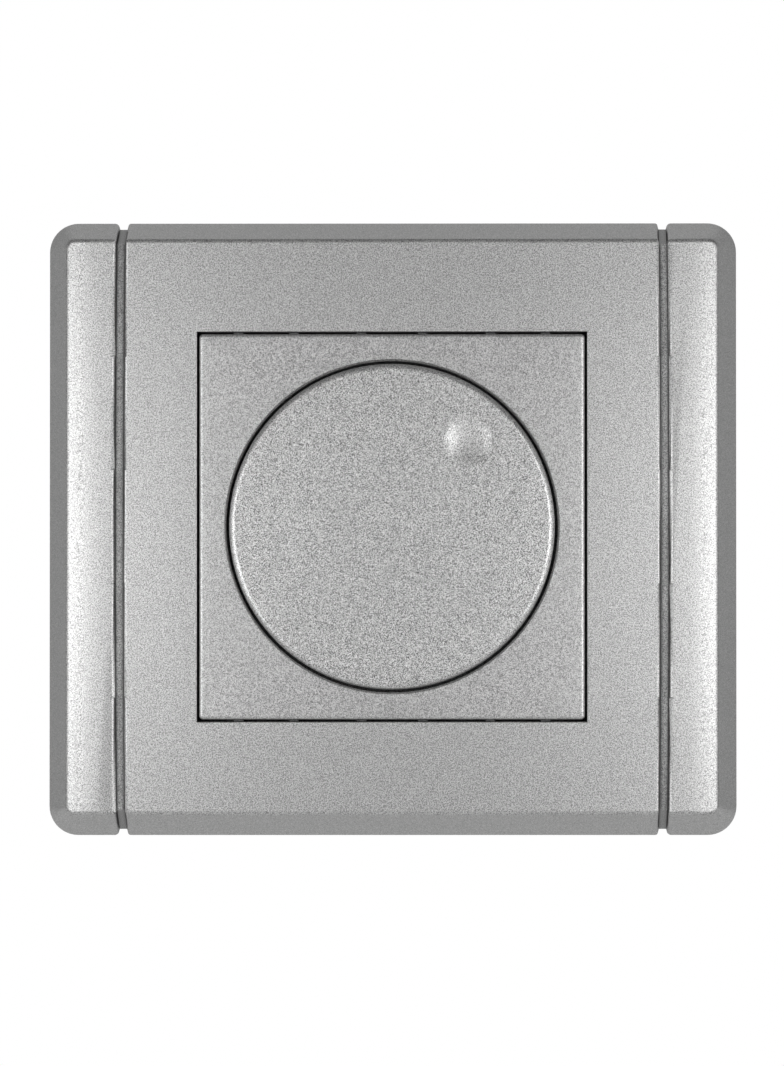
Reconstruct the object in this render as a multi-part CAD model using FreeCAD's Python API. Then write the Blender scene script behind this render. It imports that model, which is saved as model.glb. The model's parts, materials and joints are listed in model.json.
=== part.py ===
import FreeCAD, Part

# Flush rotary dimmer: push to switch, turn to dim.
# Millimetres. The front faces -Y, +X is right, +Z is up.
# The origin is the centre of the mounting strap's back face, in the wall plane.
# Every depth value below is a Y place: negative stands in front of the wall, positive is in the wall box.

import math
import os

# General fits
TOUCH_GAP = 0.05
RUNNING_GAP = 0.05
SLIDE_GAP = 0.15
ASSEMBLY_GAP = 0.3
CUT_OVERSHOOT = 1.0

# Cover frame
FRAME_WIDTH = 90.0
FRAME_HEIGHT = 80.2
FRAME_DEPTH = 9.6
FRAME_WALL = 2.0
FRAME_CORNER_RADIUS = 3.8
FLANK_INSET = 2.65
FACE_EDGE_RADIUS = 0.6
SHARPEST_CORNER = 0.4
CROWN_WIDTH = 3.4
CROWN_DROP = 0.28
PLATE_GAP = 0.3
OPENING_EDGE_RADIUS = 0.2
COLLAR_WALL = 1.8
LEDGE_WIDTH = 3.15
LEDGE_THICKNESS = 1.8
FRAME_RIB_THICKNESS = 1.0
FRAME_RIB_PLACE = 15.0
FRAME_RIB_STRAP_GAP = 0.8
SCREW_RELIEF_RADIUS = 4.0
SCREW_RELIEF_DEPTH = 2.6

# Decorative grooves of the cover frame
GROOVE_PLACE = 35.4
GROOVE_BOW = 0.25
GROOVE_MOUTH_HALF = 1.05
GROOVE_DEPTH = 0.8
GROOVE_WALL_ANGLE = 15.0
GROOVE_INNER_LIP_RADIUS = 0.35
GROOVE_OUTER_LIP_RADIUS = 0.6

# Centre plate
PLATE_SIZE = 50.2
PLATE_PROUD = 0.3
PLATE_CORNER_RADIUS = 0.5
PLATE_EDGE_RADIUS = 0.5
PLATE_SKIN = 1.7
PLATE_SKIRT_WALL = 1.4
WELL_WALL = 1.4
WELL_FLOOR = 1.5
WELL_RIM_CHAMFER = 0.25
NUT_HOLE_RADIUS = 8.5
NUB_HEIGHT = 0.2
NUB_WIDTH = 1.2
NUB_LENGTH = 4.5
NUB_SETBACK = 0.9
NUB_PLACES = (4.0, 12.8, 20.0)
LEG_PLACE_X = 19.5
LEG_PLACE_Z = 15.5
LEG_THICKNESS = 1.5
LEG_WIDTH = 4.0
HOOK_REACH = 0.8
HOOK_LENGTH = 1.5

# Knob
KNOB_RADIUS = 21.2
KNOB_WELL_GAP = 0.4
KNOB_PROUD = 1.0
KNOB_FACE = 1.8
KNOB_RIM_RADIUS = 0.8
KNOB_SKIRT_WALL = 1.6
KNOB_SKIRT_DEPTH = 4.6
KNOB_RIB_COUNT = 8
KNOB_RIB_THICKNESS = 1.1
KNOB_RIB_DEPTH = 1.6
HUB_RADIUS = 4.75
HUB_LENGTH = 3.9
HUB_SLOT_WIDTH = 0.8
HUB_SLOT_DEPTH = 2.8
CLIP_WIDTH = 0.9
CLIP_THICKNESS = 0.6
CLIP_SETBACK = 0.5
CLIP_OPENING = 1.2
DISH_PLACE_RADIUS = 16.0
DISH_ANGLE = 42.0
DISH_RADIUS = 2.95
DISH_LONG_HALF_AXIS = 4.2
DISH_SHORT_HALF_AXIS = 1.0
DISH_TILT = 5.0
DISH_LIP_RADIUS = 4.0
PUSH_TRAVEL = 1.0
PUSH_RESERVE = 0.2

# Shaft and bush
SHAFT_RADIUS = 3.0
SHAFT_CHAMFER = 0.4
SHAFT_KEY_RADIUS = 2.5
SHAFT_KEY_FLAT = 1.5
SHAFT_TAIL_RADIUS = 2.0
BUSH_RADIUS = 5.0
BUSH_FLANGE_RADIUS = 6.2
BUSH_FLANGE = 0.8
WASHER_RADIUS = 7.2
WASHER_THICKNESS = 0.5
NUT_ACROSS_FLATS = 14.0
NUT_THICKNESS = 2.0
NUT_CORNER_CHAMFER = 0.35
BUSH_NUT_PROUD = 0.3
CIRCLIP_THICKNESS = 0.5
CIRCLIP_RADIUS = 4.0
CIRCLIP_OPENING_ANGLE = 70.0

# Mounting strap
STRAP_WIDTH = 71.0
STRAP_FRAME_MARGIN = 4.6
STRAP_THICKNESS = 1.2
STRAP_CORNER_CUT = 9.0
STRAP_EDGE_RADIUS = 1.5
BOX_SCREW_EDGE = 5.5
SLOT_RADIUS = 2.0
SLOT_LENGTH = 7.0
CORNER_WINDOW_RADIUS = 1.75
CORNER_WINDOW_EDGE = 8.0
CORNER_WINDOW_LENGTH = 6.0

# Claws, one on each side
CLAW_SCREW_PLACE = 19.4
CLAW_SCREW_RADIUS = 1.5
CLAW_SCREW_LENGTH = 17.8
CLAW_HEAD_RADIUS = 2.6
CLAW_HEAD_HEIGHT = 1.6
CLAW_PIVOT_X = 18.0
CLAW_PIVOT_Y = 1.8
CLAW_REST_ANGLE = 20.0
CLAW_THICKNESS = 1.2
CLAW_EYE_RADIUS = 1.6
CLAW_ARM_LENGTH = 16.0
CLAW_CHEEK_DEPTH = 2.4
CLAW_WEB_START = 2.4
CLAW_SLOT_HALF_WIDTH = 1.9
CLAW_SLOT_END = 10.2
CLAW_TOOTH_REACH = 3.5
CLAW_TOOTH_COUNT = 4
CLAW_TOOTH_BITE = 1.2
TRUNNION_RADIUS = 1.0
TRUNNION_LENGTH = 1.5
CLAW_NUT_WIDTH = 4.0
CLAW_NUT_HEIGHT = 7.0
CLAW_NUT_THICKNESS = 3.0
CLAW_NUT_PLACE = 11.8
CLAW_CHEEK_GAP = 0.4
TAB_THICKNESS = 1.0
TAB_GAP = 0.3
TAB_HALF_WIDTH = 1.8

# Housing
HOUSING_WIDTH = 32.0
HOUSING_HEIGHT = 46.0
HOUSING_DEPTH = 22.0
HOUSING_WALL = 1.5
HOUSING_CORNER_RADIUS = 2.5
COVER_PLATE = 1.8
COVER_LIP = 1.4
COVER_LIP_WALL = 1.2
BOSS_RADIUS = 2.3
BOSS_INSET = 3.4
COVER_SCREW_RADIUS = 1.1
COVER_SCREW_HEAD_RADIUS = 1.9
COVER_SCREW_HEAD_HEIGHT = 1.2
COVER_SCREW_LENGTH = 7.5
STRAP_SCREW_EDGE = 4.5
STRAP_SCREW_RADIUS = 1.25
STRAP_SCREW_HEAD_RADIUS = 2.4
STRAP_SCREW_HEAD_HEIGHT = 1.1
STRAP_SCREW_LENGTH = 6.5
STRAP_BOSS_RADIUS = 2.6
STRAP_BOSS_HEIGHT = 6.5
VENT_COUNT = 5
VENT_WIDTH = 1.0
VENT_LENGTH = 8.0
VENT_PITCH = 2.6
VENT_PLACE_Z = 8.0

# Turning control behind the strap
CONTROL_RADIUS = 8.5
CONTROL_WALL = 0.7
CONTROL_FRONT = 0.8
CONTROL_OVER_SWITCH = 0.5
TRACK_THICKNESS = 1.2
WIPER_RADIUS = 6.4
WIPER_HUB_RADIUS = 4.2
WIPER_TRACK_GAP = 0.2
WIPER_CONTACT_WIDTH = 1.6
WIPER_CONTACT_SHEET = 0.3
TRACK_PIN_PITCH = 2.4
TRACK_PIN_WIDTH = 0.8
TRACK_PIN_SHEET = 0.5

# Push switch behind the turning control
SWITCH_WIDTH = 15.0
SWITCH_END_ROOM = 10.0
SWITCH_WALL = 1.0
SWITCH_BOARD_GAP = 1.0
PLUNGER_SIDE_GAP = 0.5
PLUNGER_BOSS_RADIUS = 1.0
PLUNGER_BOSS_HEIGHT = 0.7
PLUNGER_GUIDE = 0.8
TAIL_RESERVE = 0.1
SPRING_RADIUS = 1.6
SPRING_WIRE = 0.35
SPRING_TURNS = 3.0
SPRING_SECTION_ARCS = 8
BRIDGE_WIDTH = 12.0
BRIDGE_HEIGHT = 1.4
BRIDGE_SHEET = 0.4
CONTACT_SPACING = 10.0
CONTACT_WIDTH = 1.6
CONTACT_SHEET = 0.4
CONTACT_RESERVE = 0.05

# Circuit board
BOARD_THICKNESS = 1.6
BOARD_SIDE_GAP = 0.5
BOARD_END_GAP = 0.5
BOARD_SHELF_DEPTH = 1.6
BOARD_SHELF_WIDTH = 1.2
BOARD_HIGH_SHELF_EDGE = 7.4
BOARD_LOW_SHELF_GAP = 1.7
PIN_TAIL = 0.8
LEAD_RADIUS = 0.35

# Power parts
SINK_SHEET = 1.4
SINK_SHELF_GAP = 1.5
SINK_HIGH_EDGE = 8.8
SINK_FRONT = 2.0
TRIAC_SINK_MARGIN = 0.2
TRIAC_WIDTH = 10.0
TRIAC_TAB_FRONT = 2.4
TRIAC_TAB_LENGTH = 4.2
TRIAC_TAB_SHEET = 1.3
TRIAC_BOARD_GAP = 1.4
TRIAC_BODY_THICKNESS = 4.3
TRIAC_LEAD_PITCH = 2.54
TRIAC_LEAD_WIDTH = 0.8
TRIAC_LEAD_SHEET = 0.5
TRIAC_SCREW_RADIUS = 1.4
TRIAC_SCREW_HEAD_RADIUS = 1.9
TRIAC_SCREW_HEAD_HEIGHT = 1.4
CHOKE_PLACE_X = 1.5
CHOKE_END_GAP = 0.6
CHOKE_INNER_RADIUS = 2.4
CHOKE_BOARD_GAP = 1.4
CHOKE_THICKNESS = 4.6
WINDING_WIRE = 0.7
WINDING_COUNT = 9
WINDING_SPREAD = 280.0
CAPACITOR_THICKNESS = 5.0
CAPACITOR_EXTRA_HEIGHT = 1.3
CAPACITOR_FRONT = 4.6
CAPACITOR_WALL_GAP = 0.4
FUSE_PLACE_X = 10.9
FUSE_EDGE = 10.6
FUSE_RADIUS = 2.9
FUSE_LENGTH = 7.4

# Small parts on the back of the board
RESISTOR_RADIUS = 1.1
RESISTOR_LENGTH = 6.2
RESISTOR_SPAN = 10.0
RESISTOR_PLACES = ((-6.5, 4.0), (-6.5, 8.0), (-6.5, 12.0))
DIAC_RADIUS = 0.9
DIAC_LENGTH = 3.6
DIAC_SPAN = 7.0
DIAC_PLACE = (-6.0, 0.0)
TIMING_WIDTH = 7.2
TIMING_HEIGHT = 3.0
TIMING_COVER_GAP = 1.0
TIMING_PLACE = (6.5, 8.0)
SMALL_PART_GAP = 0.3

# Terminals at the bottom of the housing
TERMINAL_COUNT = 3
TERMINAL_PITCH = 6.8
TERMINAL_BLOCK_WIDTH = 20.2
TERMINAL_BLOCK_OVER_WIRE = 3.5
TERMINAL_BLOCK_OVER_CAGE = 1.45
TERMINAL_BLOCK_WALL = 1.0
WIRE_EDGE = 8.3
WIRE_RADIUS = 1.75
CAGE_WIDTH = 5.2
CAGE_HEIGHT = 6.0
CAGE_LENGTH = 6.8
CAGE_GAP = 0.1
TERMINAL_SCREW_RADIUS = 1.3
TERMINAL_SCREW_HEAD_RADIUS = 1.9
TERMINAL_SCREW_HEAD_HEIGHT = 1.6
TERMINAL_SCREW_SHANK = 2.2
TERMINAL_TAIL_WIDTH = 1.2
TERMINAL_TAIL_SHEET = 0.6
DRIVER_HOLE_RADIUS = 2.3
SCREW_SLOT_WIDTH = 0.6
SCREW_SLOT_DEPTH = 0.6

# Places worked out from the values above
FACE_Y = -FRAME_DEPTH
PLATE_FACE_Y = FACE_Y - PLATE_PROUD
KNOB_FACE_Y = PLATE_FACE_Y - KNOB_PROUD
OPENING_SIZE = PLATE_SIZE + 2 * PLATE_GAP
COLLAR_HALF = OPENING_SIZE / 2 + COLLAR_WALL
LEDGE_HALF = OPENING_SIZE / 2 - LEDGE_WIDTH
STRAP_FRONT_Y = -STRAP_THICKNESS
LEDGE_TOP_Y = STRAP_FRONT_Y - LEDGE_THICKNESS
WELL_RADIUS = KNOB_RADIUS + KNOB_WELL_GAP
KNOB_SKIRT_Y = KNOB_FACE_Y + KNOB_SKIRT_DEPTH
WELL_FLOOR_Y = KNOB_SKIRT_Y + PUSH_TRAVEL + PUSH_RESERVE
KNOB_INSIDE_Y = KNOB_FACE_Y + KNOB_FACE
HUB_END_Y = KNOB_INSIDE_Y + HUB_LENGTH
WASHER_FRONT_Y = STRAP_FRONT_Y - WASHER_THICKNESS
NUT_FRONT_Y = WASHER_FRONT_Y - NUT_THICKNESS
BUSH_END_Y = NUT_FRONT_Y - BUSH_NUT_PROUD
SHAFT_TIP_Y = KNOB_INSIDE_Y + SHAFT_CHAMFER
BOARD_PLACE = HOUSING_DEPTH * 8 / 11
CONTROL_STACK = BOARD_PLACE - SWITCH_BOARD_GAP - HOUSING_WALL
CONTROL_LENGTH = (CONTROL_STACK + CONTROL_OVER_SWITCH) / 2
SWITCH_LENGTH = CONTROL_STACK - CONTROL_LENGTH
CONTROL_FRONT_Y = HOUSING_WALL
FLANGE_FRONT_Y = CONTROL_FRONT_Y + CONTROL_FRONT
FLANGE_BACK_Y = FLANGE_FRONT_Y + BUSH_FLANGE
CIRCLIP_FRONT_Y = FLANGE_BACK_Y + TOUCH_GAP
CIRCLIP_BACK_Y = CIRCLIP_FRONT_Y + CIRCLIP_THICKNESS
WIPER_FRONT_Y = CIRCLIP_BACK_Y + PUSH_TRAVEL + PUSH_RESERVE
CONTROL_BACK_Y = CONTROL_FRONT_Y + CONTROL_LENGTH
SHAFT_KEY_END_Y = CONTROL_BACK_Y - PUSH_TRAVEL - PUSH_RESERVE
TRACK_FRONT_Y = CONTROL_BACK_Y - TRACK_THICKNESS
WIPER_BACK_Y = TRACK_FRONT_Y - WIPER_TRACK_GAP
WIPER_DISC = (WIPER_BACK_Y - WIPER_FRONT_Y) * 5 / 8
SWITCH_BACK_Y = CONTROL_BACK_Y + SWITCH_LENGTH
SWITCH_ROOM = SWITCH_LENGTH - 2 * SWITCH_WALL
TAIL_LENGTH = SWITCH_ROOM / 4 - TAIL_RESERVE
PLUNGER_THICKNESS = SWITCH_ROOM * 3 / 10
TAIL_END_Y = CONTROL_BACK_Y + SWITCH_WALL + TAIL_LENGTH
PLUNGER_BACK_Y = TAIL_END_Y + PLUNGER_THICKNESS
CONTACT_FRONT_Y = PLUNGER_BACK_Y + PUSH_TRAVEL + CONTACT_RESERVE
BOARD_BACK_Y = BOARD_PLACE + BOARD_THICKNESS
PIN_END_Y = BOARD_BACK_Y + PIN_TAIL
INNER_HALF_WIDTH = HOUSING_WIDTH / 2 - HOUSING_WALL
INNER_HALF_HEIGHT = HOUSING_HEIGHT / 2 - HOUSING_WALL
COVER_BACK_Y = HOUSING_DEPTH + COVER_PLATE
STRAP_HEIGHT = FRAME_HEIGHT - 2 * STRAP_FRAME_MARGIN
STRAP_SCREW_PLACE = HOUSING_HEIGHT / 2 - STRAP_SCREW_EDGE
SWITCH_HEIGHT = HOUSING_HEIGHT / 2 - SWITCH_END_ROOM
PLUNGER_SIZE = SWITCH_HEIGHT / 2 - PLUNGER_SIDE_GAP
CAPACITOR_HEIGHT = HOUSING_HEIGHT / 4 + CAPACITOR_EXTRA_HEIGHT
FUSE_PLACE_Z = HOUSING_HEIGHT / 2 - FUSE_EDGE
SINK_HIGH = HOUSING_HEIGHT / 2 - SINK_HIGH_EDGE
TRIAC_LOW = SINK_HIGH - TRIAC_WIDTH - TRIAC_SINK_MARGIN
TRIAC_BODY_LENGTH = BOARD_PLACE - TRIAC_BOARD_GAP - TRIAC_TAB_LENGTH - TRIAC_TAB_FRONT
CHOKE_OUTER_RADIUS = (INNER_HALF_HEIGHT - SWITCH_HEIGHT / 2) / 3
CHOKE_PLACE_Z = INNER_HALF_HEIGHT - CHOKE_OUTER_RADIUS - WINDING_WIRE - CHOKE_END_GAP
CHOKE_FRONT = BOARD_PLACE - CHOKE_BOARD_GAP - CHOKE_THICKNESS
TIMING_DEPTH = HOUSING_DEPTH - BOARD_BACK_Y - TIMING_COVER_GAP
WIRE_PLACE_Z = WIRE_EDGE - HOUSING_HEIGHT / 2
TERMINAL_BLOCK_TOP = WIRE_PLACE_Z + TERMINAL_BLOCK_OVER_WIRE
BOARD_LOW_END = TERMINAL_BLOCK_TOP + BOARD_END_GAP
BOARD_HIGH_END = INNER_HALF_HEIGHT - BOARD_END_GAP
BOARD_LOW_SHELF = -CAPACITOR_HEIGHT / 2 - BOARD_LOW_SHELF_GAP
BOARD_HIGH_SHELF = HOUSING_HEIGHT / 2 - BOARD_HIGH_SHELF_EDGE
SINK_LOW = BOARD_LOW_SHELF + BOARD_SHELF_WIDTH / 2 + SINK_SHELF_GAP
TERMINAL_BLOCK_BACK_Y = HOUSING_DEPTH - TOUCH_GAP
TERMINAL_BLOCK_LOW = -INNER_HALF_HEIGHT + TOUCH_GAP
CAGE_BACK_Y = TERMINAL_BLOCK_BACK_Y - TERMINAL_BLOCK_WALL - CAGE_GAP
CAGE_FRONT_Y = CAGE_BACK_Y - CAGE_LENGTH
TERMINAL_BLOCK_FRONT = CAGE_FRONT_Y - TERMINAL_BLOCK_OVER_CAGE
TERMINAL_SCREW_Y = (CAGE_FRONT_Y + CAGE_BACK_Y) / 2

AXIS_X = FreeCAD.Vector(1, 0, 0)
AXIS_Y = FreeCAD.Vector(0, 1, 0)
AXIS_Z = FreeCAD.Vector(0, 0, 1)
CENTRE = FreeCAD.Vector(0, 0, 0)


def point(x, y, z):
    return FreeCAD.Vector(x, y, z)


def block(x_low, x_high, y_low, y_high, z_low, z_high):
    """A box between two corners."""
    return Part.makeBox(x_high - x_low, y_high - y_low, z_high - z_low, point(x_low, y_low, z_low))


def rod(radius, y_low, y_high, x=0.0, z=0.0):
    """A round bar along Y."""
    return Part.makeCylinder(radius, y_high - y_low, point(x, y_low, z), AXIS_Y)


def tube(outer, inner, y_low, y_high, x=0.0, z=0.0):
    """A round sleeve along Y."""
    bore = rod(inner, y_low - CUT_OVERSHOOT, y_high + CUT_OVERSHOOT, x, z)
    return rod(outer, y_low, y_high, x, z).cut(bore)


def rounded_outline(half_width, half_height, radius, y):
    """A closed rectangle with round corners, at the depth y."""
    corner_x = half_width - radius
    corner_z = half_height - radius
    reach = radius * math.sqrt(0.5)
    edges = []
    for sign_x, sign_z in ((1, 1), (-1, 1), (-1, -1), (1, -1)):
        on_side = point(sign_x * half_width, y, sign_z * corner_z)
        on_corner = point(sign_x * (corner_x + reach), y, sign_z * (corner_z + reach))
        on_end = point(sign_x * corner_x, y, sign_z * half_height)
        turn = (on_side, on_corner, on_end) if sign_x == sign_z else (on_end, on_corner, on_side)
        edges.append(Part.Arc(*turn).toShape())
    joined = []
    for index, arc in enumerate(edges):
        following = edges[(index + 1) % len(edges)]
        joined.append(arc)
        joined.append(Part.LineSegment(arc.lastVertex().Point, following.firstVertex().Point).toShape())
    return Part.Wire(joined)


def rounded_block(half_width, half_height, radius, y_low, y_high):
    """A plate or box with round corners, centred on the Y axis."""
    outline = rounded_outline(half_width, half_height, radius, y_low)
    return Part.Face(outline).extrude(point(0, y_high - y_low, 0))


def polygon_face(points):
    """A flat face through the given corner points."""
    return Part.Face(Part.makePolygon(points + [points[0]]))


def turned(profile):
    """A solid of revolution about the Y axis from (radius, y) corner points."""
    return polygon_face([point(r, y, 0) for r, y in profile]).revolve(CENTRE, AXIS_Y, 360)


def slot_cutter(x, z, radius, length, angle, y_low, y_high):
    """A through slot with round ends; length is end to end, angle is from +X towards +Z."""
    straight = length / 2 - radius
    body = block(-straight, straight, y_low, y_high, -radius, radius)
    ends = [rod(radius, y_low, y_high, side * straight) for side in (-1, 1)]
    cutter = body.fuse(ends).removeSplitter()
    cutter.rotate(CENTRE, AXIS_Y, -angle)
    cutter.translate(point(x, 0, z))
    return cutter


def mirrored_in_x(shape):
    return shape.mirror(CENTRE, AXIS_X)


def edges_near(shape, test):
    """The edges whose two ends and middle all pass the test."""
    found = []
    for edge in shape.Edges:
        middle = edge.valueAt((edge.FirstParameter + edge.LastParameter) / 2)
        if all(test(p) for p in [middle] + [v.Point for v in edge.Vertexes]):
            found.append(edge)
    return found


# Cover frame


def flank_inset(height):
    """How far the sloping flank has drawn in at a height above the wall."""
    return FLANK_INSET * height / FRAME_DEPTH


def frame_outline(height, wall):
    inset = flank_inset(height) + wall
    radius = max(FRAME_CORNER_RADIUS - inset, SHARPEST_CORNER)
    return rounded_outline(FRAME_WIDTH / 2 - inset, FRAME_HEIGHT / 2 - inset, radius, -height)


def frame_form(height, wall):
    """The drafted outer form of the frame, or its inside when a wall is given."""
    return Part.makeLoft([frame_outline(0.0, wall), frame_outline(height, wall)], True, True)


def crown_cutter():
    """What the gentle crown takes off the right end of the face."""
    face_end = FRAME_WIDTH / 2 - FLANK_INSET
    start = face_end - CROWN_WIDTH
    radius = (CROWN_WIDTH**2 + CROWN_DROP**2) / (2 * CROWN_DROP)
    half = FRAME_HEIGHT / 2
    end = face_end + CUT_OVERSHOOT
    blank = block(start, end, FACE_Y - CUT_OVERSHOOT, FACE_Y + CROWN_WIDTH, -half, half)
    drum = Part.makeCylinder(radius, 2 * half, point(start, FACE_Y + radius, -half), AXIS_Z)
    return blank.cut(drum)


def groove_profile(to_world):
    """The groove's section; to_world turns (across, depth) into a point."""
    angle = math.radians(GROOVE_WALL_ANGLE)
    half_turn = math.pi / 4 - angle / 2
    edges = []
    corners = {}
    for side, lip_radius in ((-1, GROOVE_INNER_LIP_RADIUS), (1, GROOVE_OUTER_LIP_RADIUS)):
        lip_across = GROOVE_MOUTH_HALF - lip_radius * math.cos(angle)
        lip_depth = lip_radius * (1 - math.sin(angle))
        middle_across = GROOVE_MOUTH_HALF - lip_radius * math.sin(half_turn)
        middle_depth = lip_radius * (1 - math.cos(half_turn))
        floor_half = lip_across - (GROOVE_DEPTH - lip_depth) * math.tan(angle)
        top = to_world(side * GROOVE_MOUTH_HALF, -CUT_OVERSHOOT)
        mouth = to_world(side * GROOVE_MOUTH_HALF, 0.0)
        middle = to_world(side * middle_across, middle_depth)
        lip = to_world(side * lip_across, lip_depth)
        floor = to_world(side * floor_half, GROOVE_DEPTH)
        corners[side] = (top, floor)
        edges.append(Part.LineSegment(top, mouth).toShape())
        edges.append(Part.Arc(mouth, middle, lip).toShape())
        edges.append(Part.LineSegment(lip, floor).toShape())
    edges.append(Part.LineSegment(corners[-1][0], corners[1][0]).toShape())
    edges.append(Part.LineSegment(corners[-1][1], corners[1][1]).toShape())
    return Part.Face(Part.Wire(Part.__sortEdges__(edges)))


def groove_cutters():
    """The right groove: a bowed cut over the face and a straight one down each flank."""
    half = FRAME_HEIGHT / 2 + CUT_OVERSHOOT
    bow_radius = (half**2 + GROOVE_BOW**2) / (2 * GROOVE_BOW)
    bow_centre = GROOVE_PLACE + GROOVE_BOW - bow_radius
    half_turn = math.degrees(math.asin(half / bow_radius))
    middle_place = GROOVE_PLACE + GROOVE_BOW
    section = groove_profile(lambda across, depth: point(middle_place + across, FACE_Y + depth, 0))
    section.rotate(point(bow_centre, 0, 0), AXIS_Y, -half_turn)
    cutters = [section.revolve(point(bow_centre, 0, 0), AXIS_Y, 2 * half_turn)]
    slope = FLANK_INSET / FRAME_DEPTH
    length = FRAME_DEPTH + CUT_OVERSHOOT
    start_y = CUT_OVERSHOOT
    for side in (-1, 1):
        flank = FRAME_HEIGHT / 2 + slope * start_y
        face = groove_profile(
            lambda across, depth: point(GROOVE_PLACE + across, start_y, side * (flank - depth))
        )
        cutters.append(face.extrude(point(0, -length - start_y, -side * slope * (length + start_y))))
    return cutters


def frame_ribs(cavity):
    """Thin ribs between the collar and the outer wall."""
    half = FRAME_RIB_THICKNESS / 2
    front = FACE_Y + FRAME_WALL / 2
    back = STRAP_FRONT_Y - FRAME_RIB_STRAP_GAP
    ribs = []
    for place in (-FRAME_RIB_PLACE, FRAME_RIB_PLACE):
        upright = block(place - half, place + half, front, back, -FRAME_HEIGHT / 2, FRAME_HEIGHT / 2)
        level = block(-FRAME_WIDTH / 2, FRAME_WIDTH / 2, front, back, place - half, place + half)
        ribs += [upright.common(cavity), level.common(cavity)]
    return ribs


def cover_frame():
    outer = frame_form(FRAME_DEPTH, 0.0)
    crown = crown_cutter()
    outer = outer.cut([crown, mirrored_in_x(crown)])
    face_limit = FACE_Y + CROWN_DROP + TOUCH_GAP
    side_limit = FRAME_WIDTH / 2 - FLANK_INSET - TOUCH_GAP
    end_limit = FRAME_HEIGHT / 2 - FLANK_INSET - TOUCH_GAP
    corner_reach = FRAME_CORNER_RADIUS

    def on_face_rim(p):
        near_side = abs(p.x) > side_limit - corner_reach / 2 and abs(p.z) <= end_limit
        return p.y < face_limit and (abs(p.z) > end_limit or near_side)

    rim = [e for e in edges_near(outer, on_face_rim) if not runs_along_crown_seam(e)]
    outer = outer.makeFillet(FACE_EDGE_RADIUS, rim)
    cavity = frame_form(FRAME_DEPTH - FRAME_WALL, FRAME_WALL)
    collar_front = FACE_Y + FRAME_WALL / 2
    collar = block(-COLLAR_HALF, COLLAR_HALF, collar_front, STRAP_FRONT_Y, -COLLAR_HALF, COLLAR_HALF)
    shell = outer.cut(cavity).fuse([collar] + frame_ribs(cavity))
    opening_half = OPENING_SIZE / 2
    opening = block(
        -opening_half, opening_half, FACE_Y - CUT_OVERSHOOT, LEDGE_TOP_Y, -opening_half, opening_half
    )
    ledge_opening = block(-LEDGE_HALF, LEDGE_HALF, LEDGE_TOP_Y - CUT_OVERSHOOT, 0, -LEDGE_HALF, LEDGE_HALF)
    reliefs = []
    for x, z in box_screw_places():
        reliefs.append(rod(SCREW_RELIEF_RADIUS, STRAP_FRONT_Y - SCREW_RELIEF_DEPTH, 0, x, z))
    head_room = STRAP_FRONT_Y - STRAP_SCREW_HEAD_HEIGHT - ASSEMBLY_GAP
    for side_z in (-1, 1):
        z = side_z * STRAP_SCREW_PLACE
        reliefs.append(rod(STRAP_SCREW_HEAD_RADIUS + ASSEMBLY_GAP, head_room, 0, 0, z))
    shell = shell.cut([opening, ledge_opening] + reliefs).removeSplitter()
    shell = shell.makeFillet(OPENING_EDGE_RADIUS, edges_near(shell, on_opening_edge))
    right_grooves = groove_cutters()
    left_grooves = [mirrored_in_x(c) for c in right_grooves]
    return shell.cut(right_grooves + left_grooves).removeSplitter()


def on_opening_edge(p):
    """True on the four face edges of the opening for the plate."""
    reach = max(abs(p.x), abs(p.z))
    return p.y < FACE_Y + TOUCH_GAP and abs(reach - OPENING_SIZE / 2) < TOUCH_GAP


def runs_along_crown_seam(edge):
    """True for the two lines where the crown starts, which aren't on the rim."""
    ends = [v.Point for v in edge.Vertexes]
    start = FRAME_WIDTH / 2 - FLANK_INSET - CROWN_WIDTH
    return all(abs(abs(p.x) - start) < TOUCH_GAP for p in ends)


def box_screw_places():
    level = STRAP_WIDTH / 2 - BOX_SCREW_EDGE
    upright = STRAP_HEIGHT / 2 - BOX_SCREW_EDGE
    return ((level, 0), (-level, 0), (0, upright), (0, -upright))


# Centre plate and knob


def snap_leg(side_x, side_z):
    """One leg that hooks behind the strap."""
    outside = LEG_PLACE_X + LEG_THICKNESS
    root_y = PLATE_FACE_Y + PLATE_SKIN / 2
    outline = [
        point(LEG_PLACE_X, root_y, 0),
        point(outside, root_y, 0),
        point(outside, TOUCH_GAP, 0),
        point(outside + HOOK_REACH, TOUCH_GAP, 0),
        point(outside, HOOK_LENGTH, 0),
        point(LEG_PLACE_X, HOOK_LENGTH, 0),
    ]
    leg = polygon_face(outline).extrude(point(0, 0, LEG_WIDTH))
    leg.translate(point(0, 0, side_z * LEG_PLACE_Z - LEG_WIDTH / 2))
    return leg if side_x > 0 else mirrored_in_x(leg)


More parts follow.
